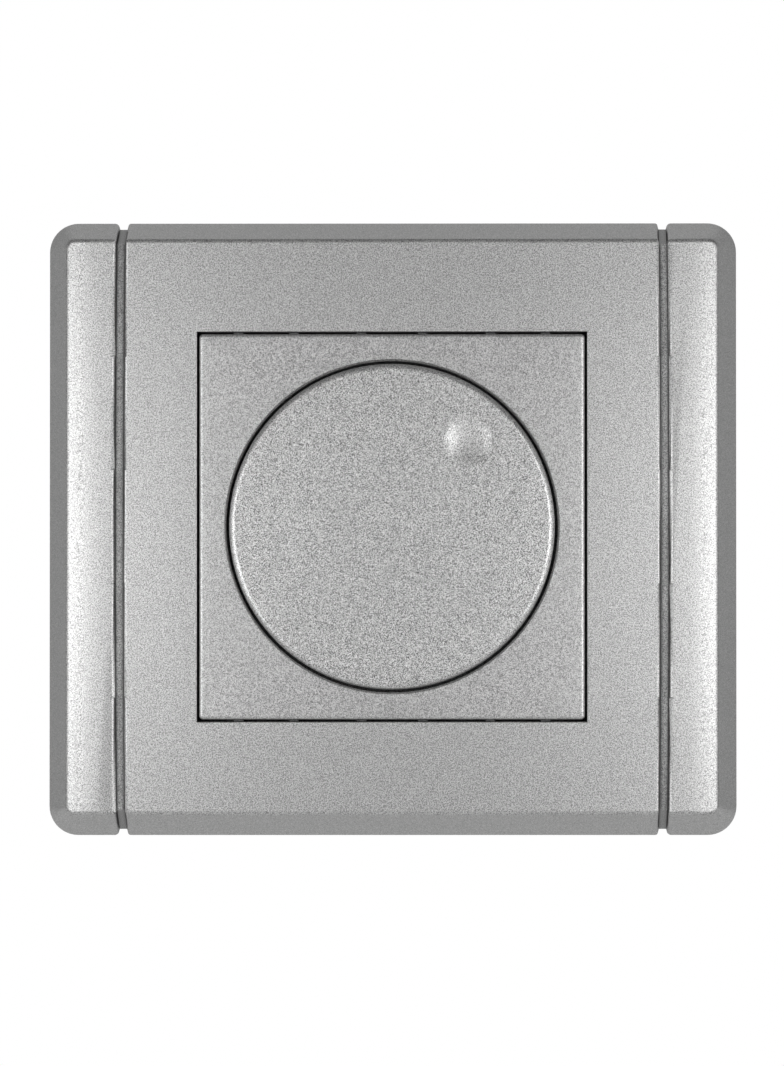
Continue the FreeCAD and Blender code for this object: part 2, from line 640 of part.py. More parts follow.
def centre_plate():
    half = PLATE_SIZE / 2
    body = rounded_block(half, half, PLATE_CORNER_RADIUS, PLATE_FACE_Y, LEDGE_TOP_Y)
    face_rim = edges_near(body, lambda p: p.y < PLATE_FACE_Y + TOUCH_GAP)
    body = body.makeFillet(min(PLATE_EDGE_RADIUS, PLATE_CORNER_RADIUS - TOUCH_GAP), face_rim)
    inner_half = half - PLATE_SKIRT_WALL
    skin_y = PLATE_FACE_Y + PLATE_SKIN
    hollow = rounded_block(inner_half, inner_half, PLATE_CORNER_RADIUS, skin_y, 0)
    floor_back = WELL_FLOOR_Y + WELL_FLOOR
    cup = rod(WELL_RADIUS + WELL_WALL, skin_y - PLATE_SKIN / 2, floor_back)
    legs = [snap_leg(x, z) for x in (-1, 1) for z in (-1, 1)]
    nubs = []
    nub_front = PLATE_FACE_Y + NUB_SETBACK
    nub_back = nub_front + NUB_LENGTH
    root = half - PLATE_SKIRT_WALL / 2
    crest = half + NUB_HEIGHT
    for place in NUB_PLACES:
        for centre in (-place, place):
            left = centre - NUB_WIDTH / 2
            right = centre + NUB_WIDTH / 2
            nubs.append(block(left, right, nub_front, nub_back, -crest, -root))
            nubs.append(block(left, right, nub_front, nub_back, root, crest))
    body = body.cut(hollow).fuse([cup] + legs + nubs)
    well = turned(
        [
            (0, PLATE_FACE_Y - CUT_OVERSHOOT),
            (WELL_RADIUS + WELL_RIM_CHAMFER, PLATE_FACE_Y - CUT_OVERSHOOT),
            (WELL_RADIUS + WELL_RIM_CHAMFER, PLATE_FACE_Y),
            (WELL_RADIUS, PLATE_FACE_Y + WELL_RIM_CHAMFER),
            (WELL_RADIUS, WELL_FLOOR_Y),
            (0, WELL_FLOOR_Y),
        ]
    )
    return body.cut([well, rod(NUT_HOLE_RADIUS, PLATE_FACE_Y, 0)]).removeSplitter()


def finger_scoop():
    """A tilted flat ellipsoid: its cut is steep towards the hub and runs out towards the rim."""
    flatten = FreeCAD.Matrix()
    flatten.scale(1.0, DISH_SHORT_HALF_AXIS / DISH_LONG_HALF_AXIS, 1.0)
    ball = Part.makeSphere(DISH_LONG_HALF_AXIS, CENTRE, AXIS_X)
    scoop = ball.transformGeometry(flatten)
    share = math.sqrt(1 - (DISH_RADIUS / DISH_LONG_HALF_AXIS) ** 2)
    scoop.rotate(CENTRE, AXIS_X, DISH_TILT)
    scoop.translate(point(0, KNOB_FACE_Y - DISH_SHORT_HALF_AXIS * share, DISH_PLACE_RADIUS))
    scoop.rotate(CENTRE, AXIS_Y, DISH_ANGLE)
    return scoop


def knob():
    bend = KNOB_RIM_RADIUS * (1 - math.sqrt(0.5))
    rim_arc = Part.Arc(
        point(KNOB_RADIUS - KNOB_RIM_RADIUS, KNOB_FACE_Y, 0),
        point(KNOB_RADIUS - bend, KNOB_FACE_Y + bend, 0),
        point(KNOB_RADIUS, KNOB_FACE_Y + KNOB_RIM_RADIUS, 0),
    ).toShape()
    inner = KNOB_RADIUS - KNOB_SKIRT_WALL
    hub_bore = SHAFT_RADIUS + TOUCH_GAP
    corners = [
        (KNOB_RADIUS, KNOB_FACE_Y + KNOB_RIM_RADIUS),
        (KNOB_RADIUS, KNOB_SKIRT_Y),
        (inner, KNOB_SKIRT_Y),
        (inner, KNOB_INSIDE_Y),
        (HUB_RADIUS, KNOB_INSIDE_Y),
        (HUB_RADIUS, HUB_END_Y),
        (hub_bore, HUB_END_Y),
        (hub_bore, KNOB_INSIDE_Y + TOUCH_GAP),
        (0, KNOB_INSIDE_Y + TOUCH_GAP),
        (0, KNOB_FACE_Y),
        (KNOB_RADIUS - KNOB_RIM_RADIUS, KNOB_FACE_Y),
    ]
    lines = Part.makePolygon([point(r, y, 0) for r, y in corners])
    body = Part.Face(Part.Wire([rim_arc] + lines.Edges)).revolve(CENTRE, AXIS_Y, 360)
    ribs = []
    for index in range(KNOB_RIB_COUNT):
        rib = block(
            HUB_RADIUS - TOUCH_GAP,
            inner + TOUCH_GAP,
            KNOB_INSIDE_Y - TOUCH_GAP,
            KNOB_INSIDE_Y + KNOB_RIB_DEPTH,
            -KNOB_RIB_THICKNESS / 2,
            KNOB_RIB_THICKNESS / 2,
        )
        rib.rotate(CENTRE, AXIS_Y, (index + 0.5) * 360 / KNOB_RIB_COUNT)
        ribs.append(rib)
    slot_front = HUB_END_Y - HUB_SLOT_DEPTH
    slot_reach = HUB_RADIUS + TOUCH_GAP
    half_slot = HUB_SLOT_WIDTH / 2
    slot = block(-slot_reach, slot_reach, slot_front, HUB_END_Y + CUT_OVERSHOOT, -half_slot, half_slot)
    body = body.fuse(ribs).cut([slot, finger_scoop()]).removeSplitter()
    return body.makeFillet(DISH_LIP_RADIUS, edges_near(body, on_scoop_mouth))


def on_scoop_mouth(p):
    """True on the edge where the finger scoop leaves the knob's face."""
    angle = math.radians(DISH_ANGLE)
    across = p.x - DISH_PLACE_RADIUS * math.sin(angle)
    up = p.z - DISH_PLACE_RADIUS * math.cos(angle)
    return p.y < KNOB_FACE_Y + TOUCH_GAP and math.hypot(across, up) < DISH_LONG_HALF_AXIS


def hub_clip():
    """A split spring ring that squeezes the hub's two fingers on the shaft."""
    back = HUB_END_Y - CLIP_SETBACK
    ring = tube(HUB_RADIUS + CLIP_THICKNESS, HUB_RADIUS, back - CLIP_WIDTH, back)
    reach = HUB_RADIUS + 2 * CLIP_THICKNESS
    half = CLIP_OPENING / 2
    return ring.cut(block(-half, half, back - 2 * CLIP_WIDTH, back + CLIP_WIDTH, 0, reach))


def control_shaft():
    """Round in the bush, keyed where it drives the wiper, thin at the tail that works the switch."""
    profile = [
        (0, SHAFT_TIP_Y),
        (SHAFT_RADIUS - SHAFT_CHAMFER, SHAFT_TIP_Y),
        (SHAFT_RADIUS, SHAFT_TIP_Y + SHAFT_CHAMFER),
        (SHAFT_RADIUS, CIRCLIP_FRONT_Y),
        (SHAFT_KEY_RADIUS, CIRCLIP_FRONT_Y),
        (SHAFT_KEY_RADIUS, SHAFT_KEY_END_Y),
        (SHAFT_TAIL_RADIUS, SHAFT_KEY_END_Y),
        (SHAFT_TAIL_RADIUS, TAIL_END_Y),
        (0, TAIL_END_Y),
    ]
    flat = block(
        -SHAFT_KEY_RADIUS,
        SHAFT_KEY_RADIUS,
        CIRCLIP_BACK_Y,
        SHAFT_KEY_END_Y,
        SHAFT_KEY_FLAT,
        SHAFT_KEY_RADIUS + CUT_OVERSHOOT,
    )
    return turned(profile).cut(flat)


def shaft_circlip():
    """An open ring in front of the wiper that keeps the shaft from pulling out."""
    ring = tube(CIRCLIP_RADIUS, SHAFT_KEY_RADIUS, CIRCLIP_FRONT_Y, CIRCLIP_BACK_Y)
    half = math.radians(CIRCLIP_OPENING_ANGLE / 2)
    reach = 2 * CIRCLIP_RADIUS
    wedge = polygon_face(
        [
            point(0, CIRCLIP_FRONT_Y - TOUCH_GAP, 0),
            point(-reach * math.sin(half), CIRCLIP_FRONT_Y - TOUCH_GAP, -reach * math.cos(half)),
            point(reach * math.sin(half), CIRCLIP_FRONT_Y - TOUCH_GAP, -reach * math.cos(half)),
        ]
    )
    return ring.cut(wedge.extrude(point(0, CIRCLIP_THICKNESS + 2 * TOUCH_GAP, 0)))


def threaded_bush():
    bore = SHAFT_RADIUS + RUNNING_GAP
    return turned(
        [
            (bore, BUSH_END_Y),
            (BUSH_RADIUS - SHAFT_CHAMFER, BUSH_END_Y),
            (BUSH_RADIUS, BUSH_END_Y + SHAFT_CHAMFER),
            (BUSH_RADIUS, FLANGE_FRONT_Y),
            (BUSH_FLANGE_RADIUS, FLANGE_FRONT_Y),
            (BUSH_FLANGE_RADIUS, FLANGE_BACK_Y),
            (bore, FLANGE_BACK_Y),
        ]
    )


def bush_washer():
    return tube(WASHER_RADIUS, BUSH_RADIUS + TOUCH_GAP, WASHER_FRONT_Y, STRAP_FRONT_Y)


def bush_nut():
    circumradius = NUT_ACROSS_FLATS / 2 / math.cos(math.radians(30))
    corners = []
    for index in range(6):
        angle = math.radians(60 * index)
        corners.append(point(circumradius * math.cos(angle), NUT_FRONT_Y, circumradius * math.sin(angle)))
    prism = polygon_face(corners).extrude(point(0, NUT_THICKNESS, 0))
    envelope = turned(
        [
            (0, NUT_FRONT_Y),
            (NUT_ACROSS_FLATS / 2, NUT_FRONT_Y),
            (circumradius, NUT_FRONT_Y + NUT_CORNER_CHAMFER),
            (circumradius, WASHER_FRONT_Y),
            (0, WASHER_FRONT_Y),
        ]
    )
    bore = rod(BUSH_RADIUS + TOUCH_GAP, NUT_FRONT_Y - CUT_OVERSHOOT, WASHER_FRONT_Y + CUT_OVERSHOOT)
    return prism.common(envelope).cut(bore)


# Mounting strap and claws


def strap_outline_face():
    half_width = STRAP_WIDTH / 2
    half_height = STRAP_HEIGHT / 2
    corners = []
    for sign_x, sign_z in ((1, 1), (-1, 1), (-1, -1), (1, -1)):
        pair = [point(sign_x * half_width, STRAP_FRONT_Y, sign_z * (half_height - STRAP_CORNER_CUT))]
        pair.append(point(sign_x * (half_width - STRAP_CORNER_CUT), STRAP_FRONT_Y, sign_z * half_height))
        corners += pair if sign_x == sign_z else pair[::-1]
    return polygon_face(corners)


def claw_tab(side_z):
    """A strap lug, bent back beside the claw, with the claw's pivot hole."""
    z_near = claw_half_width() + TAB_GAP
    z_far = z_near + TAB_THICKNESS
    z_low, z_high = (z_near, z_far) if side_z > 0 else (-z_far, -z_near)
    left = CLAW_PIVOT_X - TAB_HALF_WIDTH
    right = CLAW_PIVOT_X + TAB_HALF_WIDTH
    lug = block(left, right, -STRAP_THICKNESS / 2, CLAW_PIVOT_Y, z_low, z_high)
    tip = Part.makeCylinder(TAB_HALF_WIDTH, TAB_THICKNESS, point(CLAW_PIVOT_X, CLAW_PIVOT_Y, z_low), AXIS_Z)
    hole_start = point(CLAW_PIVOT_X, CLAW_PIVOT_Y, z_low - TAB_THICKNESS)
    hole = Part.makeCylinder(TRUNNION_RADIUS + RUNNING_GAP, 3 * TAB_THICKNESS, hole_start, AXIS_Z)
    return lug.fuse(tip).cut(hole)


def mounting_strap():
    plate = strap_outline_face().extrude(point(0, STRAP_THICKNESS, 0))
    corner_reach = (STRAP_WIDTH + STRAP_HEIGHT) / 2 - STRAP_CORNER_CUT
    corner_lines = edges_near(plate, lambda p: abs(abs(p.x) + abs(p.z) - corner_reach) < TOUCH_GAP)
    uprights = [e for e in corner_lines if abs(e.Length - STRAP_THICKNESS) < TOUCH_GAP]
    plate = plate.makeFillet(STRAP_EDGE_RADIUS, uprights)
    tabs = []
    for side_z in (-1, 1):
        tab = claw_tab(side_z)
        tabs += [tab, mirrored_in_x(tab)]
    low = STRAP_FRONT_Y - CUT_OVERSHOOT
    high = CUT_OVERSHOOT
    cutters = [rod(BUSH_RADIUS + TOUCH_GAP, low, high)]
    for x, z in box_screw_places():
        angle = 0 if z == 0 else 90
        cutters.append(slot_cutter(x, z, SLOT_RADIUS, SLOT_LENGTH, angle, low, high))
    for side_z in (-1, 1):
        z_centre = side_z * STRAP_SCREW_PLACE
        cutters.append(rod(STRAP_SCREW_RADIUS + TOUCH_GAP, low, high, 0, z_centre))
    right = []
    window_low = LEG_PLACE_X - 2 * ASSEMBLY_GAP
    window_high = LEG_PLACE_X + LEG_THICKNESS + SLIDE_GAP
    for side_z in (-1, 1):
        z_centre = side_z * LEG_PLACE_Z
        half = LEG_WIDTH / 2 + ASSEMBLY_GAP
        right.append(block(window_low, window_high, low, high, z_centre - half, z_centre + half))
        slant = 45 * side_z
        right.append(
            slot_cutter(
                STRAP_WIDTH / 2 - CORNER_WINDOW_EDGE,
                side_z * (STRAP_HEIGHT / 2 - CORNER_WINDOW_EDGE),
                CORNER_WINDOW_RADIUS,
                CORNER_WINDOW_LENGTH,
                -slant,
                low,
                high,
            )
        )
    right.append(rod(CLAW_SCREW_RADIUS + RUNNING_GAP, low, high, CLAW_SCREW_PLACE))
    cutters += right + [mirrored_in_x(c) for c in right]
    return plate.cut(cutters).fuse(tabs).removeSplitter()


def claw_half_width():
    """Half of the claw's width over its two cheeks."""
    return CLAW_NUT_HEIGHT / 2 + CLAW_CHEEK_GAP + CLAW_THICKNESS


def claw():
    """The right claw: a pressed channel with a slotted web and a toothed end.

    It is built along +Y and then leaned out.
    """
    half = claw_half_width()
    inside = half - CLAW_THICKNESS
    cheeks = []
    for z_low, z_high in ((-half, -inside), (inside, half)):
        arm = block(
            CLAW_THICKNESS - CLAW_CHEEK_DEPTH, CLAW_THICKNESS, 0, CLAW_ARM_LENGTH, z_low, z_high
        )
        eye = Part.makeCylinder(CLAW_EYE_RADIUS, CLAW_THICKNESS, point(0, 0, z_low), AXIS_Z)
        cheeks += [arm, eye]
    web = block(0, CLAW_THICKNESS, CLAW_WEB_START, CLAW_ARM_LENGTH, -half, half)
    flange = block(
        0, CLAW_THICKNESS + CLAW_TOOTH_REACH, CLAW_ARM_LENGTH - CLAW_THICKNESS, CLAW_ARM_LENGTH, -half, half
    )
    root = half - TOUCH_GAP
    trunnion = Part.makeCylinder(TRUNNION_RADIUS, TRUNNION_LENGTH + TOUCH_GAP, point(0, 0, root), AXIS_Z)
    trunnions = [trunnion, trunnion.mirror(CENTRE, AXIS_Z)]
    slot = block(
        -CUT_OVERSHOOT,
        CLAW_THICKNESS + CUT_OVERSHOOT,
        CLAW_WEB_START - CUT_OVERSHOOT,
        CLAW_SLOT_END,
        -CLAW_SLOT_HALF_WIDTH,
        CLAW_SLOT_HALF_WIDTH,
    )
    tip = CLAW_THICKNESS + CLAW_TOOTH_REACH
    pitch = 2 * half / CLAW_TOOTH_COUNT
    bites = []
    for index in range(CLAW_TOOTH_COUNT + 1):
        centre = -half + index * pitch
        notch = polygon_face(
            [
                point(tip - CLAW_TOOTH_BITE, 0, centre),
                point(tip + TOUCH_GAP, 0, centre - pitch / 2),
                point(tip + TOUCH_GAP, 0, centre + pitch / 2),
            ]
        )
        bites.append(notch.extrude(point(0, CLAW_ARM_LENGTH + CUT_OVERSHOOT, 0)))
    body = web.fuse(cheeks + [flange] + trunnions).cut([slot] + bites).removeSplitter()
    body.rotate(CENTRE, AXIS_Z, -CLAW_REST_ANGLE)
    body.translate(point(CLAW_PIVOT_X, CLAW_PIVOT_Y, 0))
    return body


def claw_screw():
    """The right claw's screw: pan head on the strap's front and a shank that reaches back past the nut."""
    head_y = STRAP_FRONT_Y - CLAW_HEAD_HEIGHT
    end_y = STRAP_FRONT_Y + CLAW_SCREW_LENGTH
    screw = turned(
        [
            (0, head_y),
            (CLAW_HEAD_RADIUS - CLAW_HEAD_HEIGHT / 3, head_y),
            (CLAW_HEAD_RADIUS, head_y + CLAW_HEAD_HEIGHT / 2),
            (CLAW_HEAD_RADIUS, STRAP_FRONT_Y),
            (CLAW_SCREW_RADIUS, STRAP_FRONT_Y),
            (CLAW_SCREW_RADIUS, end_y - SHAFT_CHAMFER),
            (CLAW_SCREW_RADIUS - SHAFT_CHAMFER, end_y),
            (0, end_y),
        ]
    )
    screw = screw.cut(driver_slot(CLAW_HEAD_RADIUS, head_y))
    screw.translate(point(CLAW_SCREW_PLACE, 0, 0))
    return screw


def driver_slot(head_radius, head_y):
    """A straight screwdriver slot across a head that faces -Y."""
    reach = head_radius + TOUCH_GAP
    half = SCREW_SLOT_WIDTH / 2
    return block(-reach, reach, head_y - TOUCH_GAP, head_y + SCREW_SLOT_DEPTH, -half, half)


def claw_nut():
    half = CLAW_NUT_WIDTH / 2
    body = block(
        CLAW_SCREW_PLACE - half,
        CLAW_SCREW_PLACE + half,
        CLAW_NUT_PLACE,
        CLAW_NUT_PLACE + CLAW_NUT_THICKNESS,
        -CLAW_NUT_HEIGHT / 2,
        CLAW_NUT_HEIGHT / 2,
    )
    return body.cut(rod(CLAW_SCREW_RADIUS + RUNNING_GAP, 0, HOUSING_DEPTH, CLAW_SCREW_PLACE))


# Housing


def boss_places():
    """The four corner bosses that take the cover screws."""
    x = HOUSING_WIDTH / 2 - BOSS_INSET
    z = HOUSING_HEIGHT / 2 - BOSS_INSET
    return ((x, z), (-x, z), (-x, -z), (x, -z))


def terminal_places():
    first = -TERMINAL_PITCH * (TERMINAL_COUNT - 1) / 2
    return [first + index * TERMINAL_PITCH for index in range(TERMINAL_COUNT)]


def housing():
    outer = rounded_block(HOUSING_WIDTH / 2, HOUSING_HEIGHT / 2, HOUSING_CORNER_RADIUS, 0, HOUSING_DEPTH)
    inner_radius = HOUSING_CORNER_RADIUS - HOUSING_WALL
    cavity = rounded_block(
        INNER_HALF_WIDTH, INNER_HALF_HEIGHT, inner_radius, HOUSING_WALL, HOUSING_DEPTH + CUT_OVERSHOOT
    )
    additions = []
    boss_end = HOUSING_DEPTH - COVER_LIP - TOUCH_GAP
    for x, z in boss_places():
        additions.append(rod(BOSS_RADIUS, HOUSING_WALL - TOUCH_GAP, boss_end, x, z))
    for side_z in (-1, 1):
        z = side_z * STRAP_SCREW_PLACE
        additions.append(rod(STRAP_BOSS_RADIUS, HOUSING_WALL - TOUCH_GAP, STRAP_BOSS_HEIGHT, 0, z))
    for place in (BOARD_LOW_SHELF, BOARD_HIGH_SHELF):
        z_low = place - BOARD_SHELF_WIDTH / 2
        z_high = place + BOARD_SHELF_WIDTH / 2
        inside = INNER_HALF_WIDTH - BOARD_SHELF_DEPTH
        outside = INNER_HALF_WIDTH + TOUCH_GAP
        additions.append(block(inside, outside, HOUSING_WALL - TOUCH_GAP, BOARD_PLACE, z_low, z_high))
        additions.append(block(-outside, -inside, HOUSING_WALL - TOUCH_GAP, BOARD_PLACE, z_low, z_high))
    cutters = [rod(BUSH_RADIUS + TOUCH_GAP, -CUT_OVERSHOOT, HOUSING_WALL + CUT_OVERSHOOT)]
    screw_end = HOUSING_DEPTH + COVER_PLATE - COVER_SCREW_LENGTH
    for x, z in boss_places():
        cutters.append(rod(COVER_SCREW_RADIUS, screw_end, HOUSING_DEPTH, x, z))
    for side_z in (-1, 1):
        z = side_z * STRAP_SCREW_PLACE
        cutters.append(rod(STRAP_SCREW_RADIUS, -CUT_OVERSHOOT, STRAP_FRONT_Y + STRAP_SCREW_LENGTH, 0, z))
    through = HOUSING_WALL + 2 * CUT_OVERSHOOT
    for x in terminal_places():
        start = point(x, TERMINAL_SCREW_Y, -HOUSING_HEIGHT / 2 - CUT_OVERSHOOT)
        cutters.append(Part.makeCylinder(DRIVER_HOLE_RADIUS, through, start, AXIS_Z))
    return outer.cut(cavity).fuse(additions).cut(cutters).removeSplitter()


def rear_cover():
    plate = rounded_block(
        HOUSING_WIDTH / 2, HOUSING_HEIGHT / 2, HOUSING_CORNER_RADIUS, HOUSING_DEPTH, COVER_BACK_Y
    )
    back_rim = edges_near(plate, lambda p: p.y > COVER_BACK_Y - TOUCH_GAP)
    plate = plate.makeChamfer(FACE_EDGE_RADIUS, back_rim)
    lip_half_width = INNER_HALF_WIDTH - SLIDE_GAP
    lip_half_height = INNER_HALF_HEIGHT - SLIDE_GAP
    lip_radius = HOUSING_CORNER_RADIUS - HOUSING_WALL
    lip_front = HOUSING_DEPTH - COVER_LIP
    lip = rounded_block(lip_half_width, lip_half_height, lip_radius, lip_front, HOUSING_DEPTH + TOUCH_GAP)
    lip_hollow = block(
        COVER_LIP_WALL - lip_half_width,
        lip_half_width - COVER_LIP_WALL,
        lip_front - CUT_OVERSHOOT,
        HOUSING_DEPTH,
        COVER_LIP_WALL - lip_half_height,
        lip_half_height - COVER_LIP_WALL,
    )
    block_room = block(
        -TERMINAL_BLOCK_WIDTH / 2 - SLIDE_GAP,
        TERMINAL_BLOCK_WIDTH / 2 + SLIDE_GAP,
        lip_front - CUT_OVERSHOOT,
        HOUSING_DEPTH,
        -INNER_HALF_HEIGHT,
        TERMINAL_BLOCK_TOP,
    )
    cutters = []
    start = HOUSING_DEPTH - CUT_OVERSHOOT
    end = COVER_BACK_Y + CUT_OVERSHOOT
    for x, z in boss_places():
        cutters.append(rod(COVER_SCREW_RADIUS + TOUCH_GAP, lip_front - CUT_OVERSHOOT, end, x, z))
    for x in terminal_places():
        cutters.append(rod(WIRE_RADIUS, start, end, x, WIRE_PLACE_Z))
    for index in range(VENT_COUNT):
        z = VENT_PLACE_Z + (index - (VENT_COUNT - 1) / 2) * VENT_PITCH
        cutters.append(slot_cutter(0, z, VENT_WIDTH / 2, VENT_LENGTH, 0, start, end))
    return plate.fuse(lip.cut([lip_hollow, block_room])).cut(cutters).removeSplitter()


def cover_screws():
    """Four screws, heads at the back."""
    screws = []
    head_y = COVER_BACK_Y + COVER_SCREW_HEAD_HEIGHT
    tip_y = COVER_BACK_Y - COVER_SCREW_LENGTH + TOUCH_GAP
    profile = [
        (0, tip_y),
        (COVER_SCREW_RADIUS - SHAFT_CHAMFER, tip_y),
        (COVER_SCREW_RADIUS, tip_y + SHAFT_CHAMFER),
        (COVER_SCREW_RADIUS, COVER_BACK_Y),
        (COVER_SCREW_HEAD_RADIUS, COVER_BACK_Y),
        (COVER_SCREW_HEAD_RADIUS, head_y - SHAFT_CHAMFER),
        (COVER_SCREW_HEAD_RADIUS - SHAFT_CHAMFER, head_y),
        (0, head_y),
    ]
    reach = COVER_SCREW_HEAD_RADIUS + TOUCH_GAP
    half = SCREW_SLOT_WIDTH / 2
    slot = block(-reach, reach, head_y - SCREW_SLOT_DEPTH, head_y + TOUCH_GAP, -half, half)
    cross = block(-half, half, head_y - SCREW_SLOT_DEPTH, head_y + TOUCH_GAP, -reach / 2, reach / 2)
    for x, z in boss_places():
        screw = turned(profile).cut([slot, cross])
        screw.translate(point(x, 0, z))
        screws.append(screw)
    return Part.Compound(screws)


def strap_screws():
    """Two screws that hold the housing to the strap, heads in front."""
    head_y = STRAP_FRONT_Y - STRAP_SCREW_HEAD_HEIGHT
    tip_y = STRAP_FRONT_Y + STRAP_SCREW_LENGTH - TOUCH_GAP
    profile = [
        (0, head_y),
        (STRAP_SCREW_HEAD_RADIUS - SHAFT_CHAMFER, head_y),
        (STRAP_SCREW_HEAD_RADIUS, head_y + SHAFT_CHAMFER),
        (STRAP_SCREW_HEAD_RADIUS, STRAP_FRONT_Y),
        (STRAP_SCREW_RADIUS, STRAP_FRONT_Y),
        (STRAP_SCREW_RADIUS, tip_y - SHAFT_CHAMFER),
        (STRAP_SCREW_RADIUS - SHAFT_CHAMFER, tip_y),
        (0, tip_y),
    ]
    screws = []
    for side_z in (-1, 1):
        screw = turned(profile).cut(driver_slot(STRAP_SCREW_HEAD_RADIUS, head_y))
        screw.translate(point(0, 0, side_z * STRAP_SCREW_PLACE))
        screws.append(screw)
    return Part.Compound(screws)


# Turning control


def control_case():
    can = rod(CONTROL_RADIUS, CONTROL_FRONT_Y, CONTROL_BACK_Y)
    hollow = rod(CONTROL_RADIUS - CONTROL_WALL, FLANGE_FRONT_Y, CONTROL_BACK_Y + CUT_OVERSHOOT)
    hole = rod(BUSH_RADIUS + TOUCH_GAP, 0, FLANGE_BACK_Y)
    return can.cut([hollow, hole])


def track_disc():
    """The insulating disc that carries the resistive track and closes the can."""
    shaft_hole = SHAFT_KEY_RADIUS + ASSEMBLY_GAP
    return tube(CONTROL_RADIUS - CONTROL_WALL - TOUCH_GAP, shaft_hole, TRACK_FRONT_Y, CONTROL_BACK_Y)


def wiper_bore(extra):
    """The keyed hole of the wiper, with a clearance all round."""
    radius = SHAFT_KEY_RADIUS + extra
    bore = rod(radius, WIPER_FRONT_Y - CUT_OVERSHOOT, CONTROL_BACK_Y)
    key = block(
        -radius,
        radius,
        WIPER_FRONT_Y - 2 * CUT_OVERSHOOT,
        CONTROL_BACK_Y + CUT_OVERSHOOT,
        SHAFT_KEY_FLAT + extra,
        radius + CUT_OVERSHOOT,
    )
    return bore.cut(key)


def wiper_carrier():
    disc = rod(WIPER_RADIUS, WIPER_FRONT_Y, WIPER_FRONT_Y + WIPER_DISC)
    hub = rod(WIPER_HUB_RADIUS, WIPER_FRONT_Y, WIPER_BACK_Y)
    return disc.fuse(hub).cut(wiper_bore(RUNNING_GAP)).removeSplitter()


def wiper_contact():
    """The sprung finger that the carrier presses on the track."""
    half = WIPER_CONTACT_WIDTH / 2
    disc_back = WIPER_FRONT_Y + WIPER_DISC
    top = WIPER_RADIUS - TOUCH_GAP
    bottom = WIPER_HUB_RADIUS + TOUCH_GAP
    end = TRACK_FRONT_Y - TOUCH_GAP
    foot = block(-half, half, disc_back, disc_back + WIPER_CONTACT_SHEET, bottom, top)
    finger = block(-half, half, disc_back, end, top - WIPER_CONTACT_SHEET, top)
    return foot.fuse(finger).removeSplitter()


def track_pins():
    """Three flat pins from the track disc to the board."""
    z_high = -(SWITCH_HEIGHT / 2 + ASSEMBLY_GAP)
    pins = []
    for index in (-1, 0, 1):
        centre = index * TRACK_PIN_PITCH
        left = centre - TRACK_PIN_WIDTH / 2
        right = centre + TRACK_PIN_WIDTH / 2
        pins.append(block(left, right, CONTROL_BACK_Y, PIN_END_Y, z_high - TRACK_PIN_SHEET, z_high))
    return Part.Compound(pins)


# Push switch


def switch_case():
    half_width = SWITCH_WIDTH / 2
    half_height = SWITCH_HEIGHT / 2
    body = block(-half_width, half_width, CONTROL_BACK_Y, SWITCH_BACK_Y, -half_height, half_height)
    room = block(
        SWITCH_WALL - half_width,
        half_width - SWITCH_WALL,
        CONTROL_BACK_Y + SWITCH_WALL,
        SWITCH_BACK_Y - SWITCH_WALL,
        SWITCH_WALL - half_height,
        half_height - SWITCH_WALL,
    )
    guide_inside = PLUNGER_SIZE / 2 + SLIDE_GAP
    guides = []
    for side in (-1, 1):
        near = side * guide_inside
        far = side * (guide_inside + PLUNGER_GUIDE)
        guides.append(
            block(
                min(near, far),
                max(near, far),
                CONTROL_BACK_Y + SWITCH_WALL - TOUCH_GAP,
                PLUNGER_BACK_Y + PUSH_TRAVEL,
                0,
                half_height - SWITCH_WALL + TOUCH_GAP,
            )
        )
    shaft_hole = rod(SHAFT_TAIL_RADIUS + ASSEMBLY_GAP, 0, CONTROL_BACK_Y + SWITCH_WALL + TOUCH_GAP)
    pin_holes = []
    hole_start = SWITCH_BACK_Y - 2 * SWITCH_WALL
    hole_end = SWITCH_BACK_Y + CUT_OVERSHOOT
    for x, z in contact_places():
        half = CONTACT_WIDTH / 2 + TOUCH_GAP
        low = z - CONTACT_SHEET - TOUCH_GAP
        high = z + TOUCH_GAP
        pin_holes.append(block(x - half, x + half, hole_start, hole_end, low, high))
    return body.cut(room).fuse(guides).cut([shaft_hole] + pin_holes).removeSplitter()


def contact_places():
    """Top edge of each fixed contact's pin."""
    z = -(SWITCH_HEIGHT / 2 - SWITCH_WALL - TOUCH_GAP - CONTACT_SHEET)
    return ((-CONTACT_SPACING / 2, z), (CONTACT_SPACING / 2, z))


def bridge_top():
    return -PLUNGER_SIZE / 2


def fixed_contacts():
    """Two bent contacts: a pad that faces the bridge and a pin through the board."""
    contacts = []
    for x, z in contact_places():
        left = x - CONTACT_WIDTH / 2
        right = x + CONTACT_WIDTH / 2
        pad_back = CONTACT_FRONT_Y + CONTACT_SHEET
        pad = block(left, right, CONTACT_FRONT_Y, pad_back, z - CONTACT_SHEET, bridge_top())
        pin = block(left, right, CONTACT_FRONT_Y, PIN_END_Y, z - CONTACT_SHEET, z)
        contacts.append(pad.fuse(pin).removeSplitter())
    return Part.Compound(contacts)


def switch_plunger():
    half = PLUNGER_SIZE / 2
    body = block(-half, half, TAIL_END_Y, PLUNGER_BACK_Y, -half, half)
    boss_end = PLUNGER_BACK_Y + PLUNGER_BOSS_HEIGHT
    return body.fuse(rod(PLUNGER_BOSS_RADIUS, PLUNGER_BACK_Y - TOUCH_GAP, boss_end))


def contact_bridge():
    """The moving contact, a strip hung under the plunger."""
    half = BRIDGE_WIDTH / 2
    top = bridge_top()
    back = PLUNGER_BACK_Y
    return block(-half, half, back - BRIDGE_SHEET, back, top - BRIDGE_HEIGHT, top)


